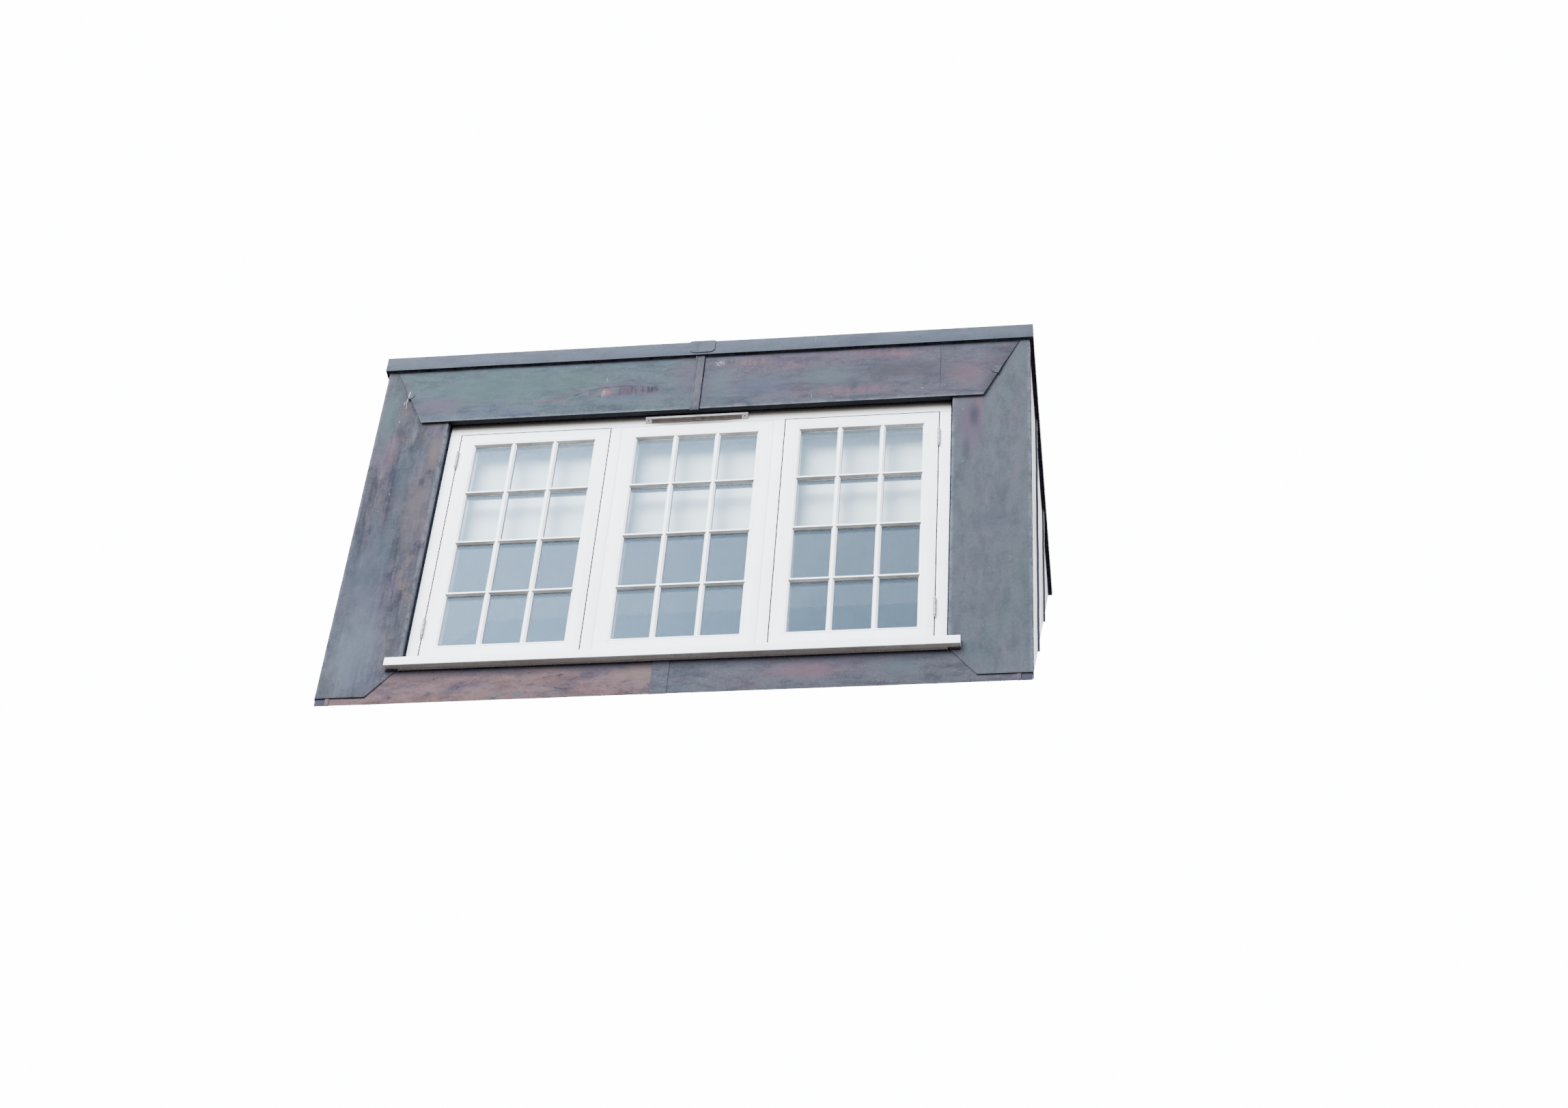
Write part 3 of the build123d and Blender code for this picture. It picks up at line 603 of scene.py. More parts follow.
def prism(mesh, section, corner):
    """Closed prism; corner(end, point) places a point of the section at end 0 or 1"""
    skin(mesh, [[mesh.verts.new(corner(end, point)) for point in section] for end in (0, 1)])


def along_x(section, x0, x1, mesh=None):
    """Prism of a (y, z) section between two x, in a new mesh unless one is given"""
    if mesh is None:
        mesh = bmesh.new()
    prism(mesh, section, lambda end, point: place((x0, x1)[end], *point))
    return mesh


def block(mesh, x0, x1, y0, y1, z0, z1, edge=0.4):
    """Box with eased edges"""
    made = bmesh.ops.create_cube(mesh, size=1)["verts"]
    first, last = place(x0, y0, z0), place(x1, y1, z1)
    for vert in made:
        vert.co = Vector([first[i] + (last[i] - first[i]) * (vert.co[i] + 0.5) for i in range(3)])
    ease(mesh, list({e for vert in made for e in vert.link_edges}), edge, clamp=False)


def turned(mesh, profile, x, y, segments=20):
    """Solid of revolution about a vertical line; profile runs up as (radius, height)"""
    turns = [2 * pi * i / segments for i in range(segments)]
    skin(mesh, [
        [mesh.verts.new(place(x + radius * cos(turn), y + radius * sin(turn), z)) for turn in turns]
        for radius, z in profile])


class Fold:
    """Section of a folded sheet: a line of (a, b) points with its corners rounded"""

    def __init__(self, points, radius):
        self.points = [Vector(point) for point in points]
        self.radius = radius
        self.run = [0.0]
        for first, second in zip(self.points, self.points[1:]):
            self.run.append(self.run[-1] + (second - first).length)

    def sharp(self, u):
        for i in range(len(self.run) - 1):
            if u <= self.run[i + 1] or i == len(self.run) - 2:
                share = (u - self.run[i]) / (self.run[i + 1] - self.run[i])
                return self.points[i].lerp(self.points[i + 1], share)

    def at(self, u):
        """Point of the rounded line and the normal to its left"""
        for i in range(1, len(self.run) - 1):
            if abs(u - self.run[i]) < self.radius:
                before = self.sharp(self.run[i] - self.radius)
                after = self.sharp(self.run[i] + self.radius)
                share = (u - self.run[i] + self.radius) / (2 * self.radius)
                first = before.lerp(self.points[i], share)
                second = self.points[i].lerp(after, share)
                point = first.lerp(second, share)
                way = second - first
                break
        else:
            point = self.sharp(u)
            way = self.sharp(min(u + 0.5, self.run[-1])) - self.sharp(max(u - 0.5, 0))
        way.normalize()
        return point, Vector((-way.y, way.x))

    def cuts(self):
        return [at + k * self.radius / 2 for at in self.run[1:-1] for k in (-2, -1, 0, 1, 2)]

    def wear_and_highlight(self, u):
        """1 at a fold, 0 away from it"""
        return max([max(0, 1 - abs(u - at) / (2.2 * self.radius)) for at in self.run[1:-1]])


def sheet_piece(name, outline, cuts, surface, material, node):
    """Lead sheet from its flat outline; surface(u, v) gives point, outward normal and the wear at folds that carries
    its painted highlight
    """
    flat = bmesh.new()
    flat.faces.new([flat.verts.new((u, v, 0)) for u, v in outline])
    for axis in (0, 1):
        slice_mesh(flat, axis, cuts[axis])
    bmesh.ops.remove_doubles(flat, verts=flat.verts, dist=0.01)
    bmesh.ops.triangulate(flat, faces=[f for f in flat.faces if len(f.verts) > 4])
    flat.verts.index_update()
    mesh = bmesh.new()
    layer = mesh.verts.layers.float.new("wear_and_highlight")
    front, back = [], []
    for vert in flat.verts:
        point, normal, wear_and_highlight = surface(vert.co.x, vert.co.y)
        front.append(mesh.verts.new(point))
        back.append(mesh.verts.new(point - normal * (LEAD / 1000)))
        front[-1][layer] = wear_and_highlight
    for face in flat.faces:
        order = [vert.index for vert in face.verts]
        mesh.faces.new([front[i] for i in order])
        mesh.faces.new([back[i] for i in reversed(order)])
    for edge in flat.edges:
        if len(edge.link_faces) == 1:
            i, j = (vert.index for vert in edge.verts)
            mesh.faces.new((front[i], front[j], back[j], back[i]))
    flat.free()
    bmesh.ops.recalc_face_normals(mesh, faces=mesh.faces)
    ease(mesh, sharp_edges(mesh, 55), 0.9)
    return add_piece(name, mesh, material, [node], 60)


def fade(distance, over):
    """0 at the start, 1 from a distance on"""
    return min(max(distance / over, 0), 1)


def dent(a, b, seed, depth):
    broad = noise.noise(Vector((a / 210 + 7.1 * seed, b / 260 + 3.3 * seed, seed)))
    small = noise.noise(Vector((a / 70 + 2.1 * seed, b / 95 - 5.3 * seed, seed + 9)))
    return depth * (broad + 0.5 * small)


def crease(x, z, line, width, depth):
    """Dressed-down crease along a line of (x, z) points, with a raised lip on its left"""
    best = None
    for (x0, z0), (x1, z1) in zip(line, line[1:]):
        way = Vector((x1 - x0, z1 - z0))
        away = Vector((x - x0, z - z0))
        share = min(1, max(0, away.dot(way) / way.length_squared))
        gap = away - way * share
        side = way.x * gap.y - way.y * gap.x
        if best is None or gap.length < abs(best):
            best = copysign(gap.length, side)
    near = best / width
    return depth * (-exp(-near * near * 4) + 0.6 * exp(-(near - 0.9) ** 2 * 4))


# Lead cladding
LEFT_CREASES = (
    ([(-1169, 1233), (-1200, 1100), (-1218, 960), (-1218, 800), (-1190, 690), (-1160, 640)], 26, 3.2),
    ([(-1150, 640), (-1176, 560), (-1215, 500), (-1235, 400)], 18, 3.0),
    ([(-1110, 1240), (-1125, 1080), (-1130, 960)], 22, 1.6),
)
RIGHT_CREASES = (
    ([(1040, 330), (1130, 320), (1180, 316)], 12, 1.2),
    ([(1300, 640), (1230, 610), (1180, 600)], 20, 1.4),
)


def jamb_panel(side, name, material, creases, depth):
    """Jamb lead: reveal return, face with a splayed foot, and a return on to the cheek"""
    edge = WINDOW_X + side * OPEN_HALF
    wide = CORNER_X - side * edge
    fold = Fold([(0, FRAME_Y), (0, 0), (wide, 0), (wide, WRAP)], 5.0)
    face, corner = fold.run[1], fold.run[2]
    head = OPEN_Z + LEAD
    lap = [LAP_LOW_X - LAP - side * edge, LAP_HIGH_X - LAP - side * edge]
    slope = (lap[1] - lap[0]) / (TRIM_LOW_Z - DRIP_Z)
    top = TRIM_LOW_Z + 8
    outline = [
        (0, SPLAY_Z),
        (face, SPLAY_Z),
        (face + SPLAY_RUN, FOOT_Z),
        (corner + WRAP, FOOT_Z),
        (corner + WRAP, top),
        (face + lap[0] + slope * (top - DRIP_Z), top),
        (face + lap[0] + slope * (head - DRIP_Z), head),
        (0, head),
    ]

    def surface(u, v):
        point, left = fold.at(u)
        out = -left
        inside = fade(u - face, 40) * fade(corner - u, 25) * max(fade(v - FOOT_Z, 60), 0.3)
        lift = dent(u, v, 11 + side, depth) * inside
        x = edge + side * point.x
        for line, width, deep in creases:
            lift += crease(x, v, line, width, deep) * inside
        lift = max(lift, -1.5)
        if face < u < corner:
            lift += 2.5 * max(0, 1 - (v - FOOT_Z) / 30) ** 2 * min(1, (u - face) / 150)
        lift += 0.5 * noise.noise(Vector((v / 60, u / 400, 3 + side))) * (1 - inside)
        out = Vector((side * out.x, out.y, 0))
        return place(x, point.y, v) + out * (lift / 1000), out, fold.wear_and_highlight(u)

    cuts = (fold.cuts() + between(face + 6, corner - 6, 9), between(FOOT_Z, top, 10))
    sheet_piece("jamb_lead_" + name, outline, cuts, surface, material, "jamb_panel_" + name)


def head_panel(side, name, material):
    """Head lead: leaning face over the jamb lead, turned under the drip and back to the frame"""
    fold = Fold([
        (FRAME_Y, OPEN_Z),
        (DRIP_BACK_Y, OPEN_Z),
        (DRIP_BACK_Y, DRIP_Z),
        (DRIP_Y, DRIP_Z),
        (-LEAD, TILT_TOP_Z),
        (-LEAD, TILT_TOP_Z + 20),
    ], 3.5)
    foot = fold.run[3]
    top = fold.run[4] + 10
    edge = side * WINDOW_X + OPEN_HALF
    joint = side * JOINT_X
    lap = LAP_LOW_X + (LAP_HIGH_X - LAP_LOW_X) * (top - foot) / (TRIM_LOW_Z - DRIP_Z)
    outline = [(joint, 0), (edge, 0), (edge, foot), (LAP_LOW_X, foot), (lap, top), (joint, top)]

    def surface(a, u):
        point, left = fold.at(u)
        out = Vector((0, left.x, left.y))
        inside = fade(u - foot, 40) * fade(top - u, 40)
        lift = dent(side * a, u, 21 + side, 1.8) * inside
        lift += 1.3 * noise.noise(Vector((a / 90, side, 0.4))) * max(0, 1 - abs(u - foot) / 45)
        wear_and_highlight = fold.wear_and_highlight(u) if u > foot - 8 else 0
        return place(side * a, point.x, point.y) + out * (lift / 1000), out, wear_and_highlight

    cuts = (between(joint, LAP_LOW_X, 12), fold.cuts() + between(foot + 6, top - 6, 11))
    sheet_piece("head_lead_" + name, outline, cuts, surface, material, "head_panel_" + name)


def face_y(z):
    """Front of the leaning head lead"""
    return DRIP_Y + (-LEAD - DRIP_Y) * (z - DRIP_Z) / (TILT_TOP_Z - DRIP_Z)


def clip(name, x, z, wide, tall, turn, material):
    """Lead clip that holds the edge of the head panel: a rounded tab dressed down on its face"""
    outline = [(-wide, tall / 2), (-wide, -tall / 2)]
    for i in range(9):
        angle = pi * (i / 8 - 0.5)
        outline.append((tall * 0.42 * cos(angle), tall / 2 * sin(angle)))
    lean = 0.35
    # The rim is a thinner, slightly larger near-black copy: a painted shadow round the clip's edge
    for part, tone, lift, grow in (("", material, 2.9, 0), ("_rim", WELT, 1.2, 1.3)):
        def corner(end, point):
            px = x + turn * (point[0] * cos(lean) - point[1] * sin(lean))
            pz = z + point[0] * sin(lean) + point[1] * cos(lean)
            return place(px, face_y(pz) - lift * end + 0.3, pz)

        mesh = bmesh.new()
        prism(mesh, [(a + copysign(grow, a), b * (1 + 2 * grow / tall)) for a, b in outline], corner)
        add_piece(name + part, mesh, tone)


def caulk_drips():
    """Old sealant run down from the left clip"""
    mesh = bmesh.new()
    runs = (
        (-1200, 1464, 1438, 1.7), (-1202, 1444, 1427, 1.1), (-1205, 1424, 1392, 1.5), (-1202, 1388, 1364, 0.8),
        (-1214, 1408, 1384, 0.7), (-1216, 1290, 1281, 1.1))
    steps, sides = 7, 6
    clip_foot, clip_lift = 1424, 2.6
    for x, top, bottom, radius in runs:
        rings = []
        for i in range(steps + 1):
            share = i / steps
            z = top + (bottom - top) * share
            wide = radius * (0.35 + 0.65 * sin(pi * (0.15 + 0.8 * share)))
            middle = x + 0.8 * sin(4 * share + x)
            y = face_y(z) - (clip_lift if z > clip_foot else 0)
            turns = [pi * j / sides for j in range(sides + 1)]
            rings.append([
                mesh.verts.new(place(middle + wide * cos(turn), y - 0.7 * wide * sin(turn), z))
                for turn in turns])
        skin(mesh, rings)
    add_piece("caulk_runs", mesh, CAULK)


jamb_panel(1, "right", JAMB_RIGHT, RIGHT_CREASES, 1.4)
jamb_panel(-1, "left", JAMB_LEFT, LEFT_CREASES, 2.4)
head_panel(1, "right", HEAD_RIGHT)
head_panel(-1, "left", HEAD_LEFT)
clip("lead_clip_left", -1196, 1443, 12, 40, 1, LAPPED)
clip("lead_clip_right", 1176, 1420, 16, 40, -1, LAPPED)
caulk_drips()
dressed("head_joint_cap", LAPPED, 0.9)
for stem, materials, slot, edge, cell, wave, axis, seed in (
        ("apron_", (APRON_LEFT, APRON_RIGHT), "lead", 0.9, 60, 1.2, 1, 3),
        ("cheek_lead_", (CHEEK_SHEEN_AND_SHADE, CHEEK_SHEEN_AND_SHADE), "lead_cheek", 1.0, 70, 1.2, 0, 7),
        ("roof_sheet_", (TRIM, TRIM), "lead_roof", 1.2, 70, 1.0, 2, 11)):
    for i, side in enumerate(("left", "right")):
        dressed(stem + side, materials[i], edge, cell=cell, wave=wave, axis=axis, seed=seed + 2 * i)
dressed("roll_cap", TRIM, 1.0)


def cap_edges():
    """Head joint: raised left edge, a dark strip of painted shadow along the right edge, and the folded tab at its
    foot
    """
    first, last = corners("head_joint_cap")
    for name, x0, x1, out, material in (
            ("head_cap_lip", first.x - 1, first.x + 5, 1.6, LAPPED),
            ("head_cap_shadow", last.x - 0.5, last.x + 4, -1.6, WELT)):
        section = [(face_y(z) - LEAD - out, z) for z in (DRIP_Z + 1, TILT_TOP_Z - 1)]
        section += [(y + 1.8 + abs(out) * 0.5, z) for y, z in reversed(section)]
        add_piece(name, along_x(section, x0, x1), material)
    mesh = bmesh.new()
    z0, y0 = DRIP_Z - 7, face_y(DRIP_Z) - LEAD
    rows = ((0, 0), (5, -1.2), (9, -2.6), (14, -1.5), (19, -2.8), (23, -0.6))
    rings = []
    for i in range(9):
        x = first.x - 3 + i * 3.4
        buckle = 1.1 * noise.noise(Vector((i * 0.7, 4.2, 0)))
        front = [mesh.verts.new(place(x, y0 + dy + buckle, z0 + dz)) for dz, dy in rows]
        back = [mesh.verts.new(place(x, y0 + 2.4, z0 + dz)) for dz, dy in reversed(rows)]
        rings.append(front + back)
    skin(mesh, rings)
    add_piece("head_cap_tab", mesh, LAPPED)


def tongue_lap():
    """Second layer of the roll cap's tongue, with a curved inner edge"""
    first, last = corners("roll_cap")
    middle, half = (first.x + last.x) / 2, (last.x - first.x) / 2
    foot = TRIM_LOW_Z + 10
    outline = [(-6, TRIM_TOP_Z - 1), (-12, TRIM_TOP_Z - 22), (-17, TRIM_TOP_Z - 44), (-8, foot + 1)]
    radius = 21
    for i in range(7):
        angle = pi / 2 * i / 6
        outline.append((half - 1 - radius * (1 - sin(angle)), foot + 1 + radius * (1 - cos(angle))))
    outline.append((half - 1, TRIM_TOP_Z - 1))
    mesh = bmesh.new()
    prism(mesh, outline, lambda end, point: place(middle + point[0], first.y - 0.9 * end + 0.2, point[1]))
    add_piece("roll_cap_lap", mesh, TONGUE)


def shaded_corner_welt(side, name):
    """Folded welt where the jamb lead turns on to the cheek, near black all over as painted shade along the corner"""
    front, straight, deep = 6, 36, 44
    top = TRIM_LOW_Z + 4
    rise = (deep - straight) * tan(SEAT_SLOPE)
    section = [(front, FOOT_Z), (straight, FOOT_Z), (deep, FOOT_Z + rise), (deep, top), (front, top)]
    sunk, proud = 0.4, 0.6
    x0, x1 = sorted((side * (CORNER_X - sunk), side * (CORNER_X + proud)))
    add_piece("shaded_corner_welt_" + name, along_x(section, x0, x1), CORNER_SHADE)


def sill_shadow_bead():
    """Dark bead that closes the joint under the sill and stands for the sill's shadow on the lead"""
    mesh = bmesh.new()
    tall, gap = 5.3, 0.2
    foot, top = -SILL_DEEP - gap - tall, -SILL_DEEP - gap
    horn = (high("window_sill").x - low("window_sill").x) / 2 - OPEN_HALF
    block(mesh, WINDOW_X - OPEN_HALF + 2, WINDOW_X + OPEN_HALF - 2, -0.5, 3.2, foot, top, 0.5)
    for side in (-1, 1):
        x0, x1 = sorted((WINDOW_X + side * (OPEN_HALF + 1), WINDOW_X + side * (OPEN_HALF + horn - 1)))
        block(mesh, x0, x1, -3.2, 0.4, foot, top, 0.5)
    add_piece("sill_shadow_bead", mesh, WELT)


cap_edges()
tongue_lap()
shaded_corner_welt(1, "right")
shaded_corner_welt(-1, "left")
sill_shadow_bead()

# Joinery
for material, edge, segments, nodes in (
        (WHITE_SILL_SHADED, 2.5, 3, ("window_sill",)),
        (WHITE_HEAD_SHADED, 1.2, 2, ("frame_head",)),
        (WHITE, 1.2, 2, ("frame_jamb_left", "frame_jamb_right", "mullion_left", "mullion_right")),
        (WHITE, 1.4, 2, ("casement_left", "fixed_light", "casement_right")),
        (WHITE, 0.6, 1, ("glazing_bead_left", "glazing_bead_middle", "glazing_bead_right", "window_board"))):
    for node in nodes:
        dressed(node, material, edge, segments)


def joined(parts):
    """One mesh from overlapping closed meshes"""
    objects = []
    for part in parts:
        data = bpy.data.meshes.new("part")
        part.to_mesh(data)
        part.free()
        objects.append(bpy.data.objects.new("part", data))
    group = bpy.data.collections.new("parts")
    bpy.context.scene.collection.children.link(group)
    for item in objects[1:]:
        group.objects.link(item)
    base = objects[0]
    bpy.context.scene.collection.objects.link(base)
    union = base.modifiers.new("union", "BOOLEAN")
    union.operation = "UNION"
    union.operand_type = "COLLECTION"
    union.collection = group
    union.solver = "EXACT"
    bpy.context.view_layer.update()
    shape = bpy.data.meshes.new_from_object(base.evaluated_get(bpy.context.evaluated_depsgraph_get()))
    mesh = bmesh.new()
    mesh.from_mesh(shape)
    bpy.data.meshes.remove(shape)
    for item in objects:
        bpy.data.meshes.remove(item.data)
    bpy.data.collections.remove(group)
    return mesh


def bar_lines(node):
    """Daylight opening of a light and the centres of its glazing bars"""
    first, last = corners(node)
    x0, x1 = first.x + DAY_IN, last.x - DAY_IN
    z0, z1 = first.z + DAY_IN, last.z - DAY_IN
    wide = (x1 - x0 - 2 * BAR) / 3
    tall = (z1 - z0 - 3 * BAR) / 4
    upright = [x0 + (k + 1) * wide + (k + 0.5) * BAR for k in range(2)]
    level = [z0 + (k + 1) * tall + (k + 0.5) * BAR for k in range(3)]
    return x0, x1, z0, z1, upright, level


def bar_grid(node, section, reach):
    """Crossing bars of one section; reach runs their ends into the rails and stiles"""
    x0, x1, z0, z1, upright, level = bar_lines(node)
    x0, x1, z0, z1 = x0 - reach, x1 + reach, z0 - reach, z1 + reach
    parts = []
    for flat, places, ends in ((False, upright, (z0, z1)), (True, level, (x0, x1))):
        for at in places:
            def corner(end, point):
                across = at + point[0]
                return place(ends[end], point[1], across) if flat else place(across, point[1], ends[end])

            mesh = bmesh.new()
            prism(mesh, section, corner)
            bmesh.ops.recalc_face_normals(mesh, faces=mesh.faces)
            parts.append(mesh)
    return joined(parts)


def glazing(name):
    """Sealed unit with spacers, and the planted bars: bevelled outside, moulded inside"""
    node = "glass_" + name
    first, last = corners(node)
    front, back = first.y, last.y
    half = BAR / 2
    nose = BAR_NOSE / 2
    outer = [(-half, front), (-half, front - 2), (-nose, FRAME_Y + 0.8)]
    inner = [(-half, back), (-half, back + 4)]
    for i in range(7):
        angle = pi / 2 * i / 6
        inner.append((-half + 1.5 + 6 * (1 - cos(angle)), back + 5 + 16 * sin(angle)))
    inner.append((-nose, back + 24))
    gap = [front + PANE + 0.1, back - PANE - 0.1]
    spacer_half = 8
    spacer = [(-spacer_half, y) for y in gap]
    for stem, section, reach, material, slot in (
            ("outer_bars_", outer, 8, WHITE, "white_joinery"),
            ("inner_bars_", inner, 1, WHITE, "white_joinery"),
            ("spacer_bars_", spacer, 2, SPACER, "hinge_metal")):
        section += [(-a, b) for a, b in reversed(section)]
        add_piece(stem + name, bar_grid(node, section, reach), material)
    mesh = bmesh.new()
    rim = 11
    block(mesh, first.x + 1, first.x + rim, *gap, first.z + 1, last.z - 1)
    block(mesh, last.x - rim, last.x - 1, *gap, first.z + 1, last.z - 1)
    block(mesh, first.x + rim, last.x - rim, *gap, first.z + 1, first.z + rim)
    block(mesh, first.x + rim, last.x - rim, *gap, last.z - rim, last.z - 1)
    add_piece("spacer_rim_" + name, mesh, SPACER)
    mesh = bmesh.new()
    block(mesh, first.x, last.x, front, front + PANE, first.z, last.z)
    block(mesh, first.x, last.x, back - PANE, back, first.z, last.z)
    panes = add_piece("sealed_panes_" + name, mesh, GLASS, [node])
    panes.visible_shadow = False


for name in ("left", "middle", "right"):
    glazing(name)


def joint_strips():
    """Painted filler round the fixed light; near-black strips round the casements, wider than their gaps, as painted
    joint shadow; dark mastic beside the frame that also stands for the shade in the reveals. set_back is from the
    frame's face, spread how far the strip covers the eased edges"""
    deep = 6
    # The casement strips are wider than the gaps: painted joint shadow
    for node, material, slot, set_back, spread in (
            ("fixed_light", FILLER, "white_joinery", 1.0, 0.2),
            ("casement_left", JOINT, "vent_plastic", -0.12, 1.6),
            ("casement_right", JOINT, "vent_plastic", -0.12, 1.6)):
        first, last = corners(node)
        y0, y1 = FRAME_Y + set_back, FRAME_Y + set_back + deep
        out = 1.95 + 0.8 * spread
        mesh = bmesh.new()
        block(mesh, first.x - out, first.x + spread, y0, y1, first.z, last.z + out, 0.2)
        block(mesh, last.x - spread, last.x + out, y0, y1, first.z, last.z + out, 0.2)
        block(mesh, first.x, last.x, y0, y1, last.z - spread, last.z + out, 0.2)
        add_piece(node + "_joint", mesh, material)
    # Dark mastic beside the frame, which also stands for the shade in the reveals
    mesh = bmesh.new()
    for side in (-1, 1):
        edge = WINDOW_X + side * (OPEN_HALF - 0.1)
        x0, x1 = sorted((edge, edge - side * 7.5))
        block(mesh, x0, x1, FRAME_Y - 2, FRAME_Y - 0.05, SILL_TOP_Z, OPEN_Z - 0.1, 0.7)
    block(mesh, WINDOW_X - OPEN_HALF + 8, WINDOW_X + OPEN_HALF - 8, FRAME_Y - 2, FRAME_Y - 0.05,
          OPEN_Z - 5, OPEN_Z - 0.1, 0.7)
    add_piece("frame_mastic_and_shade", mesh, SEAL)


joint_strips()


# Hardware
def hinge(node):
    """Three-knuckle butt hinge with domed tips; its leaves lie in the joint"""
    first, last = corners(node)
    x = (first.x + last.x) / 2
    radius = (last.x - first.x) / 2
    y = first.y + radius
    tip, gap = 8.5, 0.4
    bottom, top = first.z + tip, last.z - tip
    mesh = bmesh.new()
    knuckle = (top - bottom) / 3
    for k in range(3):
        z0 = bottom + k * knuckle + gap
        z1 = bottom + (k + 1) * knuckle - gap
        turned(mesh, [(radius - 1, z0), (radius, z0 + 1), (radius, z1 - 1), (radius - 1, z1)], x, y)
    pin = bmesh.new()
    turned(pin, [(radius - 1.6, bottom - 1), (radius - 1.6, top + 1)], x, y)
    for end in (bottom - 0.6, top + 0.6):
        turned(pin, [(radius - 0.2, end - 0.9), (radius - 0.2, end + 0.9)], x, y)
    turned(pin, [(1.4, first.z - 3.5), (2.4, first.z - 1.5), (1.4, first.z + 0.5)], x, y - 1)
    add_piece(node + "_pin", pin, SEAL)
    for end, way in ((bottom, -1), (top, 1)):
        shape = [(radius - 1.5, 0), (radius - 0.6, 1.2), (radius - 0.6, 2.6), (radius - 1.8, 3.4),
                 (radius - 1.0, 5.2), (radius - 1.6, 7.0), (radius - 3.2, 8.2), (0.4, 8.5)]
        turned(mesh, [(r, end + way * h) for r, h in shape], x, y)
    block(mesh, x - 0.9, x + 0.9, y, FRAME_Y + 30, bottom, top, 0.2)
    add_piece(node + "_turned", mesh, HINGE, [node])


def vent():
    """Trickle ventilator: bright brow, end caps with screws and a slotted face that leans back below"""
    x0, y0, z0 = low("trickle_vent")
    x1, y1, z1 = high("trickle_vent")
    cap, web, middle = 24, 27, (x0 + x1) / 2 + 8
    brow = z1 - 11.5
    hood = [(y1, z1), (y0 + 3, z1 - 1.2), (y0, z1 - 4), (y0, brow), (y0 + 2, brow - 0.6), (y1, brow + 2)]
    lip = [(y1, z0), (y1 - 3.6, z0), (y1 - 5, z0 + 1.4), (y1 - 5, z0 + 3.8), (y1, z0 + 3.8)]
    ends = [(y1, brow + 1), (y0 + 0.4, brow + 1), (y0 + 0.4, brow - 1.5), (y1 - 4.4, z0), (y1, z0)]
    add_piece("vent_hood", along_x(hood, x0 + 0.6, x1 - 0.6), VENT, ["trickle_vent"])
    mesh = along_x(ends, x0, x0 + cap)
    along_x(ends, x1 - cap, x1, mesh)
    add_piece("vent_caps", mesh, VENT_CAP)

    half = (brow + z0) / 2 + 2
    upper = [(y0 + 1.6, brow + 0.5), (y0 + 5.2, half), (y1 - 1, half), (y1 - 1, brow + 0.5)]
    face = [(y0 + 2.6, half + 1), (y1 - 5, z0 + 3), (y1 - 1, z0 + 3), (y1 - 1, half + 1)]
    mesh = bmesh.new()
    for section in (upper, lip):
        along_x(section, x0 + cap - 0.5, x1 - cap + 0.5, mesh)
    along_x(face, middle - web / 2, middle + web / 2, mesh)
    pitch, rib = 5.0, 2.8
    for i in range(int((x1 - x0 - 2 * cap) / pitch)):
        x = x0 + cap + (i + 0.5) * pitch
        if abs(x - middle) > web / 2 + 2:
            along_x(face, x - rib / 2, x + rib / 2, mesh)
    add_piece("vent_slots", mesh, VENT_FACE)

    # Painted shade: a near-black sheet behind the slots; the screw heads share its dark material
    mesh = bmesh.new()
    block(mesh, x0 + cap, x1 - cap, y1 - 1.2, y1 - 0.1, z0 + 3, brow + 1, 0.2)
    for x in (x0 + cap / 2, x1 - cap / 2):
        ring = [(2.2 * cos(pi * i / 8), 2.2 * sin(pi * i / 8)) for i in range(16)]
        lean = (y1 - 4.4 - y0) / (brow - 1.5 - z0)
        centre_z = (z0 + brow) / 2

        def corner(end, point):
            z = centre_z + point[1]
            return place(x + point[0], y0 + (brow - 1.5 - z) * lean - 0.4 + 0.8 * end, z)

        prism(mesh, ring, corner)
    add_piece("vent_back", mesh, VENT_INSIDE_SHADE)


for node in ("hinge_upper_left", "hinge_upper_right", "hinge_lower_left", "hinge_lower_right"):
    hinge(node)
vent()


# Blind
def blind():
    """Flat cloth below the headrail with a slight wave"""
    first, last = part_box("blind_sheet")
    wide, drop = last.x - first.x, last.z - first.z
    columns, rows = 120, 30
    ripple = 0.0012
    mesh = bmesh.new()

    def at(i, j):
        wave = ripple * sin(9 * i / columns + 0.7) * j / rows
        return first.x + wide * i / columns, (first.y + last.y) / 2 + wave, last.z - drop * j / rows

    grid = [[mesh.verts.new(at(i, j)) for i in range(columns + 1)] for j in range(rows + 1)]
    for above, below in zip(grid, grid[1:]):
        for i in range(columns):
            mesh.faces.new((above[i], above[i + 1], below[i + 1], below[i]))
    piece = add_piece("blind_cloth", mesh, BLIND, ["blind_sheet"])


blind()

# Materials of the CAD pieces that stay
for names, material in (
        (("base_plate_front", "side_plate_left", "side_plate_right", "corner_post_left", "corner_post_right",
          "window_lintel", "edge_joist_left", "edge_joist_right", "centre_joist", "roof_header", "roof_roll"), SAWN),
        (("roof_deck", "apron_board", "jamb_board_left", "jamb_board_right", "head_board",
          "cheek_sheathing_left", "cheek_sheathing_right"), SHEATHING),
        (("drip_fillet",), SHADED),
        (("front_lining", "cheek_lining_left", "cheek_lining_right", "ceiling_lining"), PLASTER),
        (("blind_headrail",), VENT)):
    for node in names:
        NODES[node].data.materials.clear()
        NODES[node].data.materials.append(material)


# Stage, light and camera
def flat_card(name, points, **values):
    """Four-cornered face with a plain material"""
    data = bpy.data.meshes.new(name)
    data.from_pydata(points, [], [(0, 1, 2, 3)])
    data.materials.append(Tree(name).finish(**values))
    return link(name, data)


def stage():
    reach, level = 40, -7.9
    points = [(-reach, -reach, level), (reach, -reach, level), (reach, reach, level), (-reach, reach, level)]
    floor = flat_card("floor", points, colour=(0.20, 0.19, 0.18), rough=0.9)


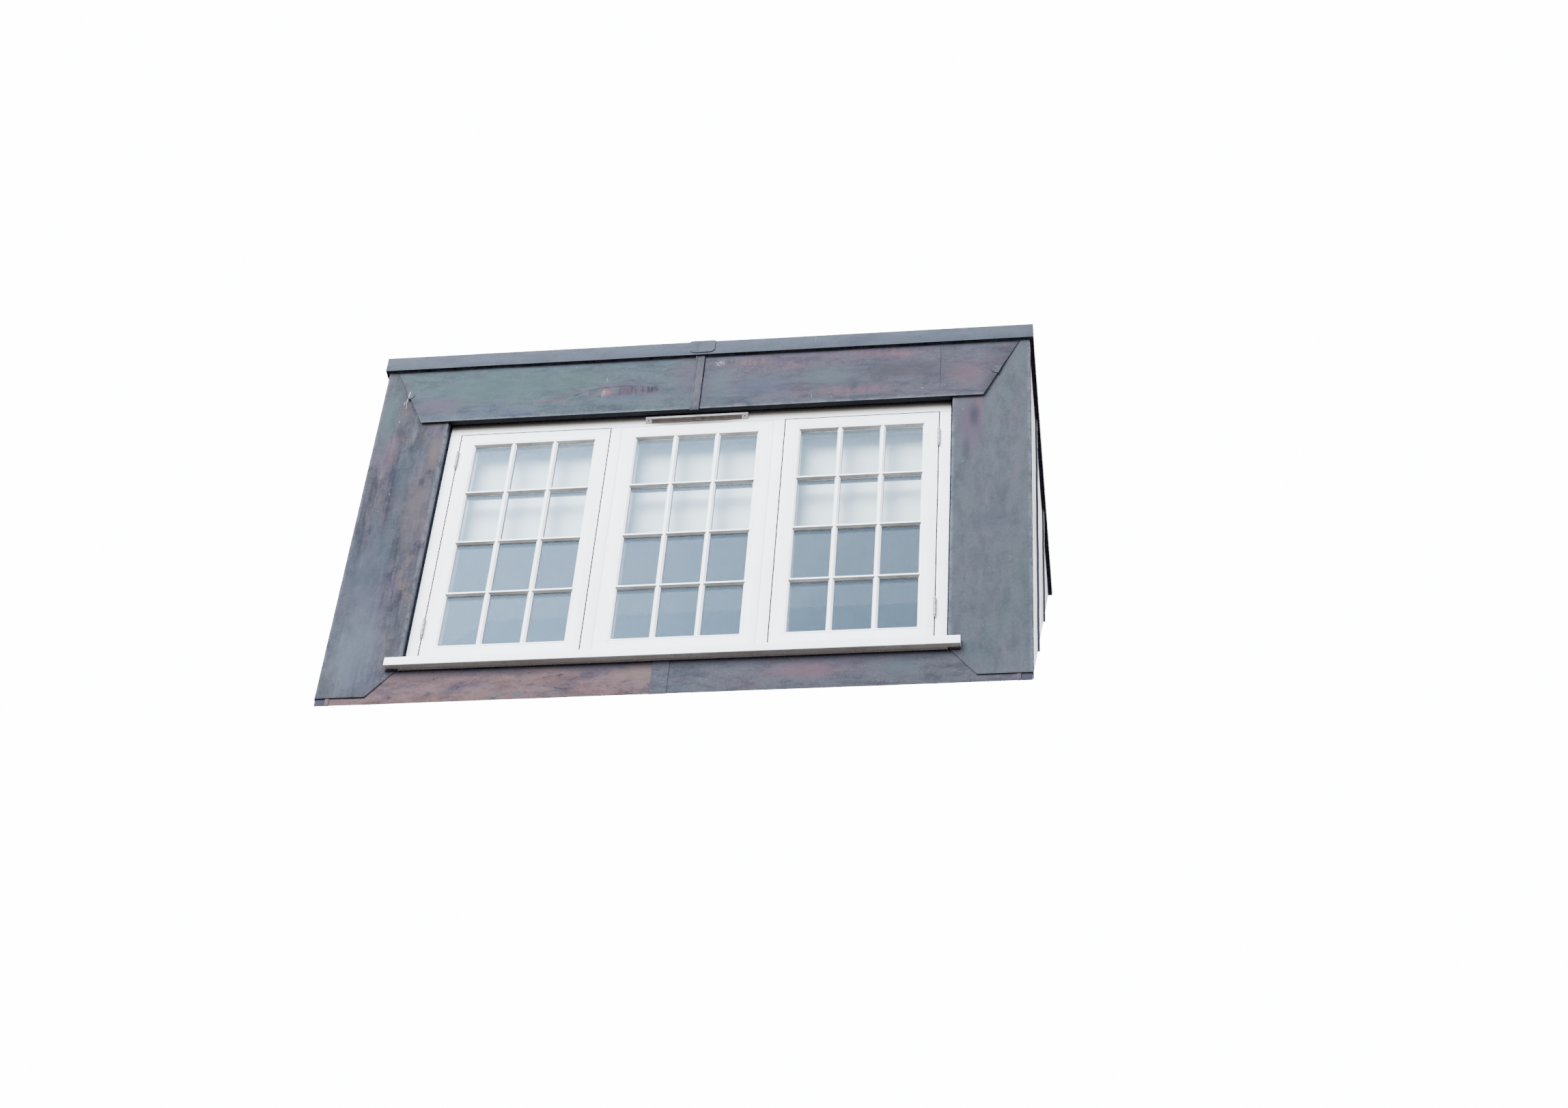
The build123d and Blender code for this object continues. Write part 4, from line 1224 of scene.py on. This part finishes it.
def sky():
    """Overcast sky: white behind the object, bluer with a darker cloud where the panes mirror it"""
    world = bpy.data.worlds.new("sky")
    bpy.context.scene.world = world
    world.use_nodes = True
    graph = Graph(world.node_tree, "Generated")
    cloud = graph.noise(graph.space((1, 1, 2.5)), 3.2, 6, 0.6, 0.5)
    colour = graph.mix(graph.ramp(cloud, 0.35, 0.65), (2.2, 2.5, 2.9), (2.7, 3.0, 3.4))
    for centre, inner, outer, shade in (
            ((-0.16, -0.71, 0.68), 0.25, 0.50, (2.9, 4.2, 6.0)),
            ((-0.02, -0.72, 0.69), 0.04, 0.26, (1.4, 2.0, 2.9)),
            ((-0.13, 0.71, 0.69), 0.45, 0.80, (15.0, 15.2, 15.6))):
        edge = graph.away(centre, (1, 1, 1), 0.04, 5)
        colour = graph.mix(graph.ramp(edge, inner, outer, 1, 0), colour, shade)
    colour = graph.mix(graph.ramp(graph.axis("Z"), -0.25, 0.05), (0.8, 0.8, 0.8), colour)
    graph.put(graph.nodes["Background"].inputs["Color"], colour)


def room_below():
    """Dim room under the open seat: one card takes light away, the other shows dark through the panes"""
    up = Vector((0, cos(SEAT_SLOPE), sin(SEAT_SLOPE)))
    clear, inset = 0.004, 0.03
    under = Vector((0, sin(SEAT_SLOPE), -cos(SEAT_SLOPE))) * clear
    half = CORNER_X / 1000 - inset
    foot, top = -0.1, 2.33
    outline = ((foot, -half), (foot, half), (top, half), (top, -half))
    for name, colour, alpha, shown in (
            ("room_shade", (0.01, 0.01, 0.01), 0.85, ("visible_diffuse", "visible_shadow")),
            ("room_dark", (0.09, 0.095, 0.10), 1.0, ("visible_transmission", "visible_glossy"))):
        points = [under + up * t + Vector((x, 0, 0)) for t, x in outline]
        card = flat_card(name, points, colour=colour, specular=0.0, alpha=alpha)
        for kind in ("camera", "diffuse", "glossy", "transmission", "shadow"):
            setattr(card, "visible_" + kind, "visible_" + kind in shown)


def softbox(name, at, target, size, power, colour):
    data = bpy.data.lights.new(name, "AREA")
    data.shape = "RECTANGLE"
    data.size, data.size_y = size
    data.energy = power
    data.color = colour
    light = link(name, data)
    light.location = at
    light.rotation_euler = (Vector(target) - Vector(at)).to_track_quat("-Z", "Y").to_euler()
    light.visible_glossy = False
    light.visible_transmission = False


def camera():
    """The photograph's camera, below the dormer and to its right"""
    yaw, pitch, roll = 0.1760, 0.7586, 0.0781
    forward = Vector((-sin(yaw) * cos(pitch), cos(yaw) * cos(pitch), sin(pitch)))
    level = Vector((cos(yaw), sin(yaw), 0))
    upright = level.cross(forward)
    right = level * cos(roll) + upright * sin(roll)
    up = upright * cos(roll) - level * sin(roll)
    turn = Matrix((right, up, -forward)).transposed().to_4x4()
    turn.translation = place(1650.4, -7107.4, -6373.5)
    data = bpy.data.cameras.new("camera")
    data.sensor_width = 36
    data.lens = 61.215
    data.clip_end = 200
    view = link("camera", data)
    view.matrix_world = turn
    bpy.context.scene.camera = view


stage()
sky()
room_below()
softbox("key", (-4, -8.5, 5.2), (0, 0, 1), (8, 8), 4900, (0.96, 0.98, 1.0))
camera()
